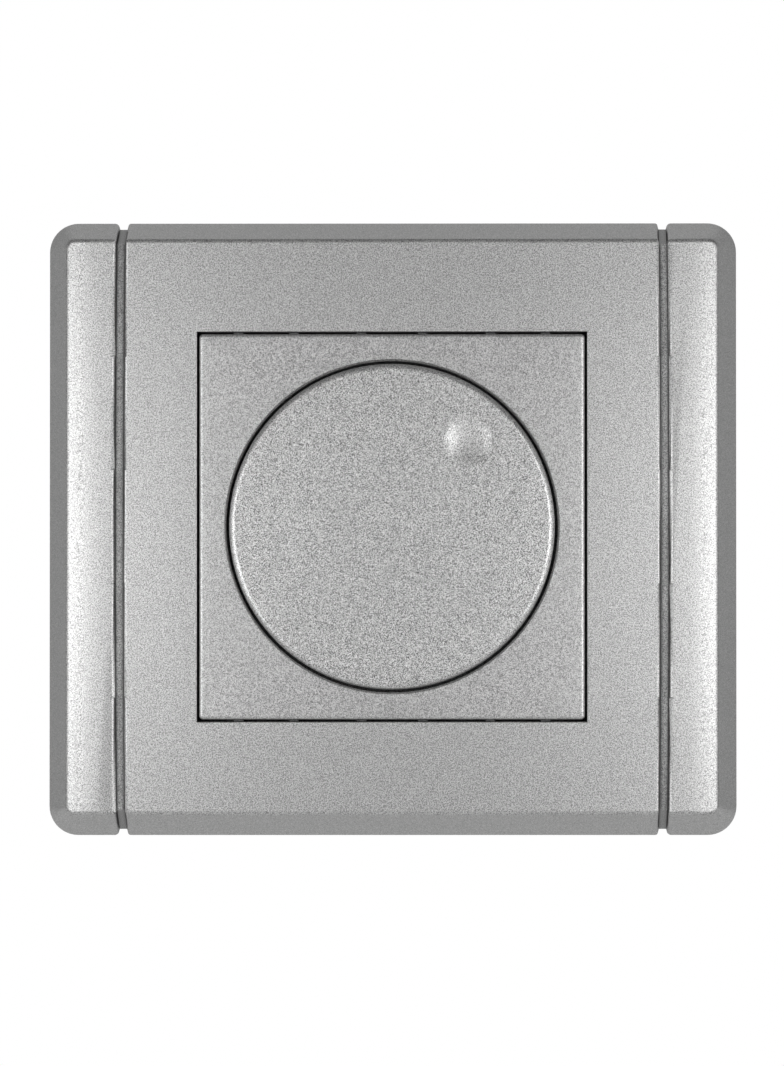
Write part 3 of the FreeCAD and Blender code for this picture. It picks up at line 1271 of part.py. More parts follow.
def spring_section():
    """The round section of the spring's wire, in equal arcs."""
    turn = 360 / SPRING_SECTION_ARCS
    centre = point(SPRING_RADIUS, 0, 0)
    arcs = []
    for index in range(SPRING_SECTION_ARCS):
        arcs.append(Part.makeCircle(SPRING_WIRE / 2, centre, AXIS_Y, index * turn, (index + 1) * turn))
    return Part.Wire(arcs)


def return_spring():
    """An open coil between the plunger and the back of the switch."""
    start = PLUNGER_BACK_Y + SPRING_WIRE / 2 + TOUCH_GAP
    end = SWITCH_BACK_Y - SWITCH_WALL - SPRING_WIRE / 2 - TOUCH_GAP
    length = end - start
    helix = Part.makeHelix(length / SPRING_TURNS, length, SPRING_RADIUS)
    coil = Part.Wire(helix).makePipeShell([spring_section()], True, True)
    coil.rotate(CENTRE, AXIS_X, -90)
    coil.translate(point(0, start, 0))
    return coil


# Circuit board and what it carries


def lead_pairs():
    """Where round leads pass the board: (x, z) places."""
    places = []
    for x, z in RESISTOR_PLACES:
        places += [(x - RESISTOR_SPAN / 2, z), (x + RESISTOR_SPAN / 2, z)]
    x, z = DIAC_PLACE
    places += [(x - DIAC_SPAN / 2, z), (x + DIAC_SPAN / 2, z)]
    x, z = TIMING_PLACE
    places += [(x - TIMING_WIDTH / 3, z), (x + TIMING_WIDTH / 3, z)]
    places += capacitor_leads() + fuse_leads()
    return places


def capacitor_leads():
    x = INNER_HALF_WIDTH - CAPACITOR_WALL_GAP - CAPACITOR_THICKNESS / 2
    return [(x, CAPACITOR_HEIGHT / 3), (x, -CAPACITOR_HEIGHT / 3)]


def fuse_leads():
    half = FUSE_RADIUS / 2
    return [(FUSE_PLACE_X - half, FUSE_PLACE_Z), (FUSE_PLACE_X + half, FUSE_PLACE_Z)]


def triac_lead_places():
    centre = TRIAC_LOW + TRIAC_WIDTH / 2
    return [centre + index * TRIAC_LEAD_PITCH for index in (-1, 0, 1)]


def sink_inside_x():
    """The inner face of the heat sink, on which the triac lies."""
    return -INNER_HALF_WIDTH + TOUCH_GAP + SINK_SHEET


def triac_lead_x():
    return sink_inside_x() + TRIAC_TAB_SHEET + TRIAC_BODY_THICKNESS / 3


def circuit_board():
    half_width = INNER_HALF_WIDTH - BOARD_SIDE_GAP
    body = block(-half_width, half_width, BOARD_PLACE, BOARD_BACK_Y, BOARD_LOW_END, BOARD_HIGH_END)
    low = BOARD_PLACE - CUT_OVERSHOOT
    high = BOARD_BACK_Y + CUT_OVERSHOOT
    cutters = []
    notch = BOSS_RADIUS + ASSEMBLY_GAP
    for x, z in boss_places():
        if z > 0:
            cutters.append(rod(notch, low, high, x, z))
            side = math.copysign(1, x)
            outer = side * (half_width + CUT_OVERSHOOT)
            cutters.append(block(min(x, outer), max(x, outer), low, high, z - notch, z + 2 * notch))
            cutters.append(block(x - notch, x + notch, low, high, z, z + 2 * notch))
    for x, z in lead_pairs():
        cutters.append(rod(LEAD_RADIUS + TOUCH_GAP, low, high, x, z))
    lead_x = triac_lead_x()
    for z in triac_lead_places():
        cutters.append(flat_pin_hole(lead_x, z, TRIAC_LEAD_SHEET, TRIAC_LEAD_WIDTH))
    pin_z = -(SWITCH_HEIGHT / 2 + ASSEMBLY_GAP) - TRACK_PIN_SHEET / 2
    for index in (-1, 0, 1):
        cutters.append(flat_pin_hole(index * TRACK_PIN_PITCH, pin_z, TRACK_PIN_WIDTH, TRACK_PIN_SHEET))
    for x, z in contact_places():
        cutters.append(flat_pin_hole(x, z - CONTACT_SHEET / 2, CONTACT_WIDTH, CONTACT_SHEET))
    for x in terminal_places():
        cutters.append(flat_pin_hole(x, terminal_tail_z(), TERMINAL_TAIL_WIDTH, TERMINAL_TAIL_SHEET))
    return body.cut(cutters)


def flat_pin_hole(x, z, width, height):
    half_width = width / 2 + TOUCH_GAP
    half_height = height / 2 + TOUCH_GAP
    return block(
        x - half_width,
        x + half_width,
        BOARD_PLACE - CUT_OVERSHOOT,
        BOARD_BACK_Y + CUT_OVERSHOOT,
        z - half_height,
        z + half_height,
    )


def heat_sink():
    outside = -INNER_HALF_WIDTH + TOUCH_GAP
    sheet = block(outside, outside + SINK_SHEET, SINK_FRONT, BOARD_PLACE, SINK_LOW, SINK_HIGH)
    start = point(outside - CUT_OVERSHOOT, triac_screw_y(), triac_centre_z())
    return sheet.cut(Part.makeCylinder(TRIAC_SCREW_RADIUS, SINK_SHEET + 2 * CUT_OVERSHOOT, start, AXIS_X))


def triac_screw_y():
    return TRIAC_TAB_FRONT + TRIAC_TAB_LENGTH / 2


def triac_centre_z():
    return TRIAC_LOW + TRIAC_WIDTH / 2


def triac():
    near = sink_inside_x()
    tab_back = TRIAC_TAB_FRONT + TRIAC_TAB_LENGTH
    body_back = tab_back + TRIAC_BODY_LENGTH
    high = TRIAC_LOW + TRIAC_WIDTH
    tab = block(near, near + TRIAC_TAB_SHEET, TRIAC_TAB_FRONT, body_back, TRIAC_LOW, high)
    body = block(near, near + TRIAC_BODY_THICKNESS, tab_back, body_back, TRIAC_LOW, high)
    start = point(near - CUT_OVERSHOOT, triac_screw_y(), triac_centre_z())
    hole_length = TRIAC_TAB_SHEET + 2 * CUT_OVERSHOOT
    hole = Part.makeCylinder(TRIAC_SCREW_RADIUS + TOUCH_GAP, hole_length, start, AXIS_X)
    lead_x = triac_lead_x()
    half_sheet = TRIAC_LEAD_SHEET / 2
    half_width = TRIAC_LEAD_WIDTH / 2
    leads = []
    start_y = body_back - TOUCH_GAP
    for z in triac_lead_places():
        low = z - half_width
        high = z + half_width
        leads.append(block(lead_x - half_sheet, lead_x + half_sheet, start_y, PIN_END_Y, low, high))
    return tab.fuse([body] + leads).cut(hole).removeSplitter()


def triac_screw():
    """The screw through the triac's tab into the heat sink, head towards the middle."""
    head_x = sink_inside_x() + TRIAC_TAB_SHEET
    y = triac_screw_y()
    z = triac_centre_z()
    tip = point(head_x - TRIAC_TAB_SHEET - SINK_SHEET, y, z)
    shank = Part.makeCylinder(TRIAC_SCREW_RADIUS, TRIAC_TAB_SHEET + SINK_SHEET, tip, AXIS_X)
    head = Part.makeCylinder(TRIAC_SCREW_HEAD_RADIUS, TRIAC_SCREW_HEAD_HEIGHT, point(head_x, y, z), AXIS_X)
    half = SCREW_SLOT_WIDTH / 2
    top = head_x + TRIAC_SCREW_HEAD_HEIGHT
    reach = TRIAC_SCREW_HEAD_RADIUS + TOUCH_GAP
    slot = block(top - SCREW_SLOT_DEPTH, top + TOUCH_GAP, y - reach, y + reach, z - half, z + half)
    return shank.fuse(head).cut(slot).removeSplitter()


def choke_core():
    back = CHOKE_FRONT + CHOKE_THICKNESS
    return tube(CHOKE_OUTER_RADIUS, CHOKE_INNER_RADIUS, CHOKE_FRONT, back, CHOKE_PLACE_X, CHOKE_PLACE_Z)


def choke_winding():
    """Separate turns of thick wire round the core, and the two ends down to the board."""
    back = CHOKE_FRONT + CHOKE_THICKNESS
    wire = WINDING_WIRE
    half = wire / 2
    outer = block(
        CHOKE_INNER_RADIUS - wire, CHOKE_OUTER_RADIUS + wire, CHOKE_FRONT - wire, back + wire, -half, half
    )
    inner = block(CHOKE_INNER_RADIUS - TOUCH_GAP, CHOKE_OUTER_RADIUS, CHOKE_FRONT, back, -wire, wire)
    turns = []
    for index in range(WINDING_COUNT):
        loop = outer.cut(inner)
        if index in (0, WINDING_COUNT - 1):
            end = block(
                CHOKE_OUTER_RADIUS, CHOKE_OUTER_RADIUS + wire, back, BOARD_PLACE, -half, half
            )
            loop = loop.fuse(end).removeSplitter()
        step = WINDING_SPREAD / (WINDING_COUNT - 1)
        loop.rotate(CENTRE, AXIS_Y, index * step + (360 - WINDING_SPREAD) / 2)
        loop.translate(point(CHOKE_PLACE_X, 0, CHOKE_PLACE_Z))
        turns.append(loop)
    return Part.Compound(turns)


def suppression_capacitor():
    right = INNER_HALF_WIDTH - CAPACITOR_WALL_GAP
    half = CAPACITOR_HEIGHT / 2
    body = block(right - CAPACITOR_THICKNESS, right, CAPACITOR_FRONT, BOARD_PLACE, -half, half)
    leads = [rod(LEAD_RADIUS, BOARD_PLACE - TOUCH_GAP, PIN_END_Y, x, z) for x, z in capacitor_leads()]
    return body.fuse(leads).removeSplitter()


def fuse():
    body = rod(FUSE_RADIUS, BOARD_PLACE - FUSE_LENGTH, BOARD_PLACE, FUSE_PLACE_X, FUSE_PLACE_Z)
    leads = [rod(LEAD_RADIUS, BOARD_PLACE - TOUCH_GAP, PIN_END_Y, x, z) for x, z in fuse_leads()]
    return body.fuse(leads).removeSplitter()


def axial_part(x, z, radius, length, span):
    """A small round part lying on the back of the board, with its two bent leads."""
    y = BOARD_BACK_Y + SMALL_PART_GAP + radius
    body = Part.makeCylinder(radius, length, point(x - length / 2, y, z), AXIS_X)
    wire = Part.makeCylinder(LEAD_RADIUS, span, point(x - span / 2, y, z), AXIS_X)
    ends = [rod(LEAD_RADIUS, BOARD_PLACE, y, x + side * span / 2, z) for side in (-1, 1)]
    corners = [Part.makeSphere(LEAD_RADIUS, point(x + side * span / 2, y, z)) for side in (-1, 1)]
    return body.fuse([wire] + ends + corners).removeSplitter()


def resistors():
    return Part.Compound(
        [axial_part(x, z, RESISTOR_RADIUS, RESISTOR_LENGTH, RESISTOR_SPAN) for x, z in RESISTOR_PLACES]
    )


def diac():
    x, z = DIAC_PLACE
    return axial_part(x, z, DIAC_RADIUS, DIAC_LENGTH, DIAC_SPAN)


def timing_capacitor():
    x, z = TIMING_PLACE
    front = BOARD_BACK_Y
    back = front + TIMING_DEPTH
    half = TIMING_WIDTH / 2
    low = z - TIMING_HEIGHT / 2
    body = block(x - half, x + half, front, back, low, low + TIMING_HEIGHT)
    spread = TIMING_WIDTH / 3
    leads = [rod(LEAD_RADIUS, BOARD_PLACE, front + TOUCH_GAP, x + side * spread, z) for side in (-1, 1)]
    return body.fuse(leads).removeSplitter()


# Terminals


def terminal_tail_z():
    """Where each terminal's tail passes the board."""
    return BOARD_LOW_END + TERMINAL_TAIL_SHEET + ASSEMBLY_GAP


def cage_low():
    return WIRE_PLACE_Z - CAGE_HEIGHT / 2


def cage_high():
    return WIRE_PLACE_Z + CAGE_HEIGHT / 2


def terminal_block():
    """The insulating body, with a pocket for each clamp, a wire hole behind it and a screw shaft below."""
    half = TERMINAL_BLOCK_WIDTH / 2
    body = block(
        -half, half, TERMINAL_BLOCK_FRONT, TERMINAL_BLOCK_BACK_Y, TERMINAL_BLOCK_LOW, TERMINAL_BLOCK_TOP
    )
    cutters = []
    for x in terminal_places():
        half_cage = CAGE_WIDTH / 2 + CAGE_GAP
        pocket = block(
            x - half_cage,
            x + half_cage,
            TERMINAL_BLOCK_FRONT - CUT_OVERSHOOT,
            CAGE_BACK_Y + CAGE_GAP,
            cage_low() - CAGE_GAP,
            cage_high() + CAGE_GAP,
        )
        wire = rod(WIRE_RADIUS, CAGE_BACK_Y, TERMINAL_BLOCK_BACK_Y + CUT_OVERSHOOT, x, WIRE_PLACE_Z)
        start = point(x, TERMINAL_SCREW_Y, TERMINAL_BLOCK_LOW - CUT_OVERSHOOT)
        shaft = Part.makeCylinder(DRIVER_HOLE_RADIUS, cage_low() - start.z, start, AXIS_Z)
        tail_half = TERMINAL_TAIL_WIDTH / 2 + TOUCH_GAP
        tail_room = block(
            x - tail_half,
            x + tail_half,
            TERMINAL_BLOCK_FRONT - CUT_OVERSHOOT,
            BOARD_PLACE,
            cage_high(),
            TERMINAL_BLOCK_TOP + CUT_OVERSHOOT,
        )
        cutters += [pocket, wire, shaft, tail_room]
    return body.cut(cutters).removeSplitter()


def terminal_clamps():
    """Three brass cages, each with a wire hole, a screw hole and a tail to the board."""
    clamps = []
    for x in terminal_places():
        half = CAGE_WIDTH / 2
        cage = block(x - half, x + half, CAGE_FRONT_Y, CAGE_BACK_Y, cage_low(), cage_high())
        wire = rod(WIRE_RADIUS, CAGE_FRONT_Y - CUT_OVERSHOOT, CAGE_BACK_Y + CUT_OVERSHOOT, x, WIRE_PLACE_Z)
        start = point(x, TERMINAL_SCREW_Y, cage_low() - CUT_OVERSHOOT)
        thread = Part.makeCylinder(TERMINAL_SCREW_RADIUS, CAGE_HEIGHT / 2 + CUT_OVERSHOOT, start, AXIS_Z)
        tail_half = TERMINAL_TAIL_WIDTH / 2
        tail_z = terminal_tail_z()
        half_sheet = TERMINAL_TAIL_SHEET / 2
        bend_y = BOARD_PLACE - ASSEMBLY_GAP
        climb = block(
            x - tail_half,
            x + tail_half,
            bend_y - TERMINAL_TAIL_SHEET,
            bend_y,
            cage_high() - TOUCH_GAP,
            tail_z + half_sheet,
        )
        leg = block(
            x - tail_half,
            x + tail_half,
            bend_y - TERMINAL_TAIL_SHEET,
            PIN_END_Y,
            tail_z - half_sheet,
            tail_z + half_sheet,
        )
        clamps.append(cage.fuse([climb, leg]).cut([wire, thread]).removeSplitter())
    return Part.Compound(clamps)


def terminal_screws():
    """Three clamp screws, backed out to leave the wire holes free, driven from below."""
    screws = []
    tip_z = WIRE_PLACE_Z - WIRE_RADIUS - TOUCH_GAP
    head_top = tip_z - TERMINAL_SCREW_SHANK
    head_low = head_top - TERMINAL_SCREW_HEAD_HEIGHT
    for x in terminal_places():
        shank_low = point(x, TERMINAL_SCREW_Y, head_top)
        shank = Part.makeCylinder(TERMINAL_SCREW_RADIUS, tip_z - head_top, shank_low, AXIS_Z)
        head = Part.makeCylinder(
            TERMINAL_SCREW_HEAD_RADIUS, head_top - head_low, point(x, TERMINAL_SCREW_Y, head_low), AXIS_Z
        )
        reach = TERMINAL_SCREW_HEAD_RADIUS + TOUCH_GAP
        half = SCREW_SLOT_WIDTH / 2
        slot = block(
            x - reach,
            x + reach,
            TERMINAL_SCREW_Y - half,
            TERMINAL_SCREW_Y + half,
            head_low - TOUCH_GAP,
            head_low + SCREW_SLOT_DEPTH,
        )
        screws.append(shank.fuse(head).cut(slot).removeSplitter())
    return Part.Compound(screws)


def all_pieces():
    pieces = {
        "cover_frame": cover_frame(),
        "centre_plate": centre_plate(),
        "knob": knob(),
        "hub_clip": hub_clip(),
        "control_shaft": control_shaft(),
        "shaft_circlip": shaft_circlip(),
        "threaded_bush": threaded_bush(),
        "bush_washer": bush_washer(),
        "bush_nut": bush_nut(),
        "mounting_strap": mounting_strap(),
        "strap_screws": strap_screws(),
        "housing": housing(),
        "rear_cover": rear_cover(),
        "cover_screws": cover_screws(),
        "control_case": control_case(),
        "track_disc": track_disc(),
        "track_pins": track_pins(),
        "wiper_carrier": wiper_carrier(),
        "wiper_contact": wiper_contact(),
        "switch_case": switch_case(),
        "switch_plunger": switch_plunger(),
        "contact_bridge": contact_bridge(),
        "fixed_contacts": fixed_contacts(),
        "return_spring": return_spring(),
        "circuit_board": circuit_board(),
        "heat_sink": heat_sink(),
        "triac": triac(),
        "triac_screw": triac_screw(),
        "choke_core": choke_core(),
        "choke_winding": choke_winding(),
        "suppression_capacitor": suppression_capacitor(),
        "fuse": fuse(),
        "resistors": resistors(),
        "diac": diac(),
        "timing_capacitor": timing_capacitor(),
        "terminal_block": terminal_block(),
        "terminal_clamps": terminal_clamps(),
        "terminal_screws": terminal_screws(),
    }
    for name, maker in (("claw", claw), ("claw_screw", claw_screw), ("claw_nut", claw_nut)):
        right = maker()
        pieces[name + "_right"] = right
        pieces[name + "_left"] = mirrored_in_x(right)
    return pieces


os.makedirs("parts", exist_ok=True)
for name, shape in all_pieces().items():
    if not shape.isValid():
        print("not valid:", name)
    shape.exportStep("parts/" + name + ".step")
    print(name, len(shape.Solids), round(shape.Volume, 1))
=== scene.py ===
"""Looks of a flush rotary dimmer: finishes, threads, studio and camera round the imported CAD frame."""

import json
import logging
import math
from dataclasses import dataclass, field
from enum import Enum
from typing import Sequence

import bmesh
import bpy
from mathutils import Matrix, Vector

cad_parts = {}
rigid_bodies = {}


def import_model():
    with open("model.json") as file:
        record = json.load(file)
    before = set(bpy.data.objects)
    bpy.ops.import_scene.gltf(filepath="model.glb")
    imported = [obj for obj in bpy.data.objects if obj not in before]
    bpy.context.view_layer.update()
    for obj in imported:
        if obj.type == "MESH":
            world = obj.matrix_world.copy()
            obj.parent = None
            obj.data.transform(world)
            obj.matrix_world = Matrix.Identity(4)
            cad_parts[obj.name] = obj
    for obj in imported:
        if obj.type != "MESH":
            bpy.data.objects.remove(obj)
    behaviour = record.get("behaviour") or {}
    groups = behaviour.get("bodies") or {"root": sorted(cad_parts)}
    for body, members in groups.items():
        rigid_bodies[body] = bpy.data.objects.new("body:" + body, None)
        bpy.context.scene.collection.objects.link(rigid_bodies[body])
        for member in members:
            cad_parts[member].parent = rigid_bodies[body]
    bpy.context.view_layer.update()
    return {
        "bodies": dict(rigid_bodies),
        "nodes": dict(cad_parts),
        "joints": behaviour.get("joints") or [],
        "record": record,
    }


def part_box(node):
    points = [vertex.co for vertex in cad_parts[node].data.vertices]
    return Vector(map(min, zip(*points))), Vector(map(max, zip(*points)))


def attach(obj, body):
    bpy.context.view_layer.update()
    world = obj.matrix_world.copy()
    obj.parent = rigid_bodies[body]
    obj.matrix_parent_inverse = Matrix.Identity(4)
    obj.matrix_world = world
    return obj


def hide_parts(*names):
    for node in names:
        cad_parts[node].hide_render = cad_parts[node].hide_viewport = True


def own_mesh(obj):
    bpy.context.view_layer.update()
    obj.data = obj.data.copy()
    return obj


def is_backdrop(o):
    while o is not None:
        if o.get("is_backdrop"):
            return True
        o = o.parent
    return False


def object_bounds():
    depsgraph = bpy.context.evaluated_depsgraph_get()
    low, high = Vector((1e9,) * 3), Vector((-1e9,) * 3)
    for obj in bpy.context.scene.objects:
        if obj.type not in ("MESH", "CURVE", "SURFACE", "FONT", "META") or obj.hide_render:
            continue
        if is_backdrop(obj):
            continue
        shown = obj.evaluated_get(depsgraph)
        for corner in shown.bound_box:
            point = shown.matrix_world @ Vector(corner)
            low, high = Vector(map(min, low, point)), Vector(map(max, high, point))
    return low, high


log = logging.getLogger("dimmer")

Colour = tuple[float, float, float]
PHOTO_WIDTH = 784
PHOTO_HEIGHT = 1066
MM = 0.001

# Most values of a noise lie between these two.
NOISE_CORE = (0.3, 0.7)

# The Mix node names the sockets of all its kinds alike, so its colour sockets are taken by their places.
MIX_LOW = 6
MIX_HIGH = 7
MIX_RESULT = 2


def rgba(colour: Colour) -> tuple[float, float, float, float]:
    """Gives a colour an opaque alpha."""
    return (*colour, 1.0)


class Graph:
    """A small builder round one material's or world's node tree."""

    def __init__(self, tree: bpy.types.NodeTree) -> None:
        """Empties the tree and keeps it.

        Args:
            tree: The node tree to fill.
        """
        self.tree = tree
        tree.nodes.clear()

    def add(self, kind: str, **settings: object) -> bpy.types.Node:
        """Adds a node.

        Args:
            kind: Blender's node class name.
            settings: Attributes to set on the new node.

        Returns:
            The new node.
        """
        node = self.tree.nodes.new(kind)
        for name, value in settings.items():
            setattr(node, name, value)
        return node

    def link(self, source: bpy.types.NodeSocket, target: bpy.types.NodeSocket) -> None:
        """Joins an output to an input."""
        self.tree.links.new(source, target)

    def maths(self, operation: str, *values: bpy.types.NodeSocket | float) -> bpy.types.NodeSocket:
        """Adds a Math node.

        Args:
            operation: The node's operation, such as ADD.
            values: Two or three sockets or numbers, as the operation takes them.

        Returns:
            The node's output socket.
        """
        node = self.add("ShaderNodeMath", operation=operation)
        for socket, value in zip(node.inputs, values):
            if isinstance(value, bpy.types.NodeSocket):
                self.link(value, socket)
            else:
                socket.default_value = value
        return node.outputs[0]

    def object_place(self) -> bpy.types.NodeSocket:
        """Gives the place on the object, in metres."""
        return self.add("ShaderNodeTexCoord").outputs["Object"]

    def noise(self, scale: float, detail: float, stretch: Vector | None = None) -> bpy.types.NodeSocket:
        """Adds a noise over the object's own place.

        Args:
            scale: Features per metre.
            detail: Number of finer layers.
            stretch: Factors along X, Y and Z, or None for an even noise.

        Returns:
            The noise value, from 0 to 1.
        """
        place = self.object_place()
        if stretch is not None:
            mapping = self.add("ShaderNodeMapping")
            mapping.inputs["Scale"].default_value = stretch
            self.link(place, mapping.inputs["Vector"])
            place = mapping.outputs[0]
        node = self.add("ShaderNodeTexNoise")
        node.inputs["Scale"].default_value = scale
        node.inputs["Detail"].default_value = detail
        self.link(place, node.inputs["Vector"])
        return node.outputs[0]

    def spread(self, value: bpy.types.NodeSocket, low: float, high: float) -> bpy.types.NodeSocket:
        """Maps the core of a noise onto low to high.

        Args:
            value: A noise value.
            low: The result at the core's lower end.
            high: The result at the core's upper end.

        Returns:
            The mapped value.
        """
        return self.remap(value, NOISE_CORE, (low, high))

    def remap(
        self, value: bpy.types.NodeSocket, source: tuple[float, float], target: tuple[float, float]
    ) -> bpy.types.NodeSocket:
        """Maps one range of numbers onto another.

        Args:
            value: The value to map.
            source: The range it comes from.
            target: The range it goes to.

        Returns:
            The mapped value.
        """
        node = self.add("ShaderNodeMapRange")
        self.link(value, node.inputs["Value"])
        for name, number in zip(("From Min", "From Max", "To Min", "To Max"), (*source, *target)):
            node.inputs[name].default_value = number
        return node.outputs[0]

    def openness(self, reach: float) -> bpy.types.NodeSocket:
        """Tells how open the surface is: 1 on a flat face and less in a groove.

        Args:
            reach: How far the neighbourhood goes, in metres.

        Returns:
            The openness, from 0 to 1.
        """
        node = self.add("ShaderNodeAmbientOcclusion", samples=8, only_local=True)
        node.inputs["Distance"].default_value = reach
        return node.outputs["AO"]

    def scaled(self, colour: bpy.types.NodeSocket, factor: bpy.types.NodeSocket) -> bpy.types.NodeSocket:
        """Multiplies a colour by a factor.

        Args:
            colour: The colour to scale.
            factor: The factor.

        Returns:
            The scaled colour.
        """
        node = self.add("ShaderNodeVectorMath", operation="SCALE")
        self.link(colour, node.inputs[0])
        self.link(factor, node.inputs["Scale"])
        return node.outputs[0]

    def tint(self, factor: bpy.types.NodeSocket, low: Colour, high: Colour) -> bpy.types.NodeSocket:
        """Mixes two colours by a factor.

        Args:
            factor: 0 gives low and 1 gives high.
            low: First colour.
            high: Second colour.

        Returns:
            The mixed colour.
        """
        node = self.add("ShaderNodeMix", data_type="RGBA")
        self.link(factor, node.inputs[0])
        node.inputs[MIX_LOW].default_value = rgba(low)
        node.inputs[MIX_HIGH].default_value = rgba(high)
        return node.outputs[MIX_RESULT]

    def levels(
        self, value: bpy.types.NodeSocket, stops: Sequence[tuple[float, float]]
    ) -> bpy.types.NodeSocket:
        """Maps a value from -1 to 1 onto levels between stops.

        Args:
            value: The value to map.
            stops: Pairs of a value and the level there, in rising order.

        Returns:
            The level.
        """
        share = self.maths("MULTIPLY_ADD", value, 0.5, 0.5)
        node = self.add("ShaderNodeValToRGB")
        elements = node.color_ramp.elements
        while len(elements) < len(stops):
            elements.new(0.5)
        for element, (place, level) in zip(elements, stops):
            element.position = (place + 1) / 2
            element.color = rgba((level, level, level))
        self.link(share, node.inputs[0])
        return node.outputs[0]

    def bump(self, height: bpy.types.NodeSocket, distance: float) -> bpy.types.NodeSocket:
        """Turns a height into a bumped normal.

        Args:
            height: The height value, from 0 to 1.
            distance: The real height of 1, in metres.

        Returns:
            The bumped normal.
        """
        node = self.add("ShaderNodeBump")
        node.inputs["Strength"].default_value = 1.0
        node.inputs["Distance"].default_value = distance
        self.link(height, node.inputs["Height"])
        return node.outputs[0]


def shaded(colour: Colour, factor: float) -> Colour:
    """Darkens or lightens a colour.

    Args:
        colour: The colour to change.
        factor: Below 1 darkens, above 1 lightens.

    Returns:
        The changed colour.
    """
    red, green, blue = (min(channel * factor, 1.0) for channel in colour)
    return (red, green, blue)


def start_material(
    name: str, colour: Colour, metallic: float
) -> tuple[bpy.types.Material, Graph, bpy.types.Node]:
    """Starts a node material with one principled shader.

    Args:
        name: The material's name.
        colour: Its plain colour in the viewport.
        metallic: How metallic the shader is.

    Returns:
        The material, its graph and its shader.
    """
    made = bpy.data.materials.new(name)
    made.use_nodes = True
    made.diffuse_color = rgba(colour)
    graph = Graph(made.node_tree)
    shader = graph.add("ShaderNodeBsdfPrincipled")
    graph.link(shader.outputs[0], graph.add("ShaderNodeOutputMaterial").inputs[0])
    shader.inputs["Metallic"].default_value = metallic
    return made, graph, shader


@dataclass(frozen=True)
class Finish:
    """A finish with a fine grain and a broad cloud of roughness. Scales are features per metre."""

    name: str
    colour: Colour
    metallic: float = 0.0
    roughness: float = 0.5
    grain_scale: float = 2500.0
    grain_detail: float = 2.0
    grain_contrast: float = 0.06
    grain_height: float = 4e-6
    grains_per_cloud: float = 30.0
    cloud_detail: float = 3.0
    roughness_spread: float = 0.06
    stretch: tuple[float, float, float] | None = None

    def material(self) -> bpy.types.Material:
        """Builds the finish as a node material.

        Returns:
            The new material.
        """
        made, graph, shader = start_material(self.name, self.colour, self.metallic)
        stretch = Vector(self.stretch) if self.stretch else None
        grain = graph.noise(self.grain_scale, self.grain_detail, stretch)
        cloud = graph.noise(self.grain_scale / self.grains_per_cloud, self.cloud_detail)
        low = shaded(self.colour, 1 - self.grain_contrast)
        high = shaded(self.colour, 1 + self.grain_contrast)
        graph.link(graph.tint(graph.spread(grain, 0.0, 1.0), low, high), shader.inputs["Base Color"])
        rough_low = self.roughness - self.roughness_spread
        rough_high = self.roughness + self.roughness_spread
        graph.link(graph.spread(cloud, rough_low, rough_high), shader.inputs["Roughness"])
        graph.link(graph.bump(grain, self.grain_height), shader.inputs["Normal"])
        return made


@dataclass(frozen=True)
class FlakeLacquer:
    """Silver lacquer: metal flakes in a clear binder, seen as a fine speckle.

    Coarse and fine flakes are mixed. Shade is painted into the colour deep in grooves and gaps, darker
    where the surface is closed in and less light falls.
    """

    name: str = "silver_lacquer"
    colour: Colour = (0.362, 0.362, 0.36)
    metallic: float = 0.75
    roughness: float = 0.4
    roughness_spread: float = 0.05
    flake_scale: float = 5200.0
    flake_detail: float = 1.0
    flake_contrast: float = 0.55
    flake_height: float = 9e-6
    fine_scale: float = 9500.0
    fine_share: float = 0.65
    speckle_core: tuple[float, float] = (0.38, 0.62)
    crevice_reach: float = 1.6 * MM
    crevice_openness: tuple[float, float] = (0.62, 0.98)
    painted_crevice_shade: float = 0.18

    def material(self) -> bpy.types.Material:
        """Builds the lacquer.

        Returns:
            The new material.
        """
        made, graph, shader = start_material(self.name, self.colour, self.metallic)
        coarse = graph.noise(self.flake_scale, self.flake_detail)
        fine = graph.noise(self.fine_scale, self.flake_detail)
        coarse_part = graph.maths("MULTIPLY", coarse, 1 - self.fine_share)
        speckle = graph.maths("MULTIPLY_ADD", fine, self.fine_share, coarse_part)
        low = shaded(self.colour, 1 - self.flake_contrast)
        high = shaded(self.colour, 1 + self.flake_contrast)
        flakes = graph.tint(graph.remap(speckle, self.speckle_core, (0.0, 1.0)), low, high)
        # Painted shade: the base colour is darkened by ambient occlusion in grooves and gaps, where less
        # light reaches.
        openness = graph.openness(self.crevice_reach)
        shade = graph.remap(openness, self.crevice_openness, (self.painted_crevice_shade, 1.0))
        graph.link(graph.scaled(flakes, shade), shader.inputs["Base Color"])
        rough_low = self.roughness - self.roughness_spread
        rough_high = self.roughness + self.roughness_spread
        graph.link(graph.spread(coarse, rough_low, rough_high), shader.inputs["Roughness"])
        graph.link(graph.bump(speckle, self.flake_height), shader.inputs["Normal"])
        return made


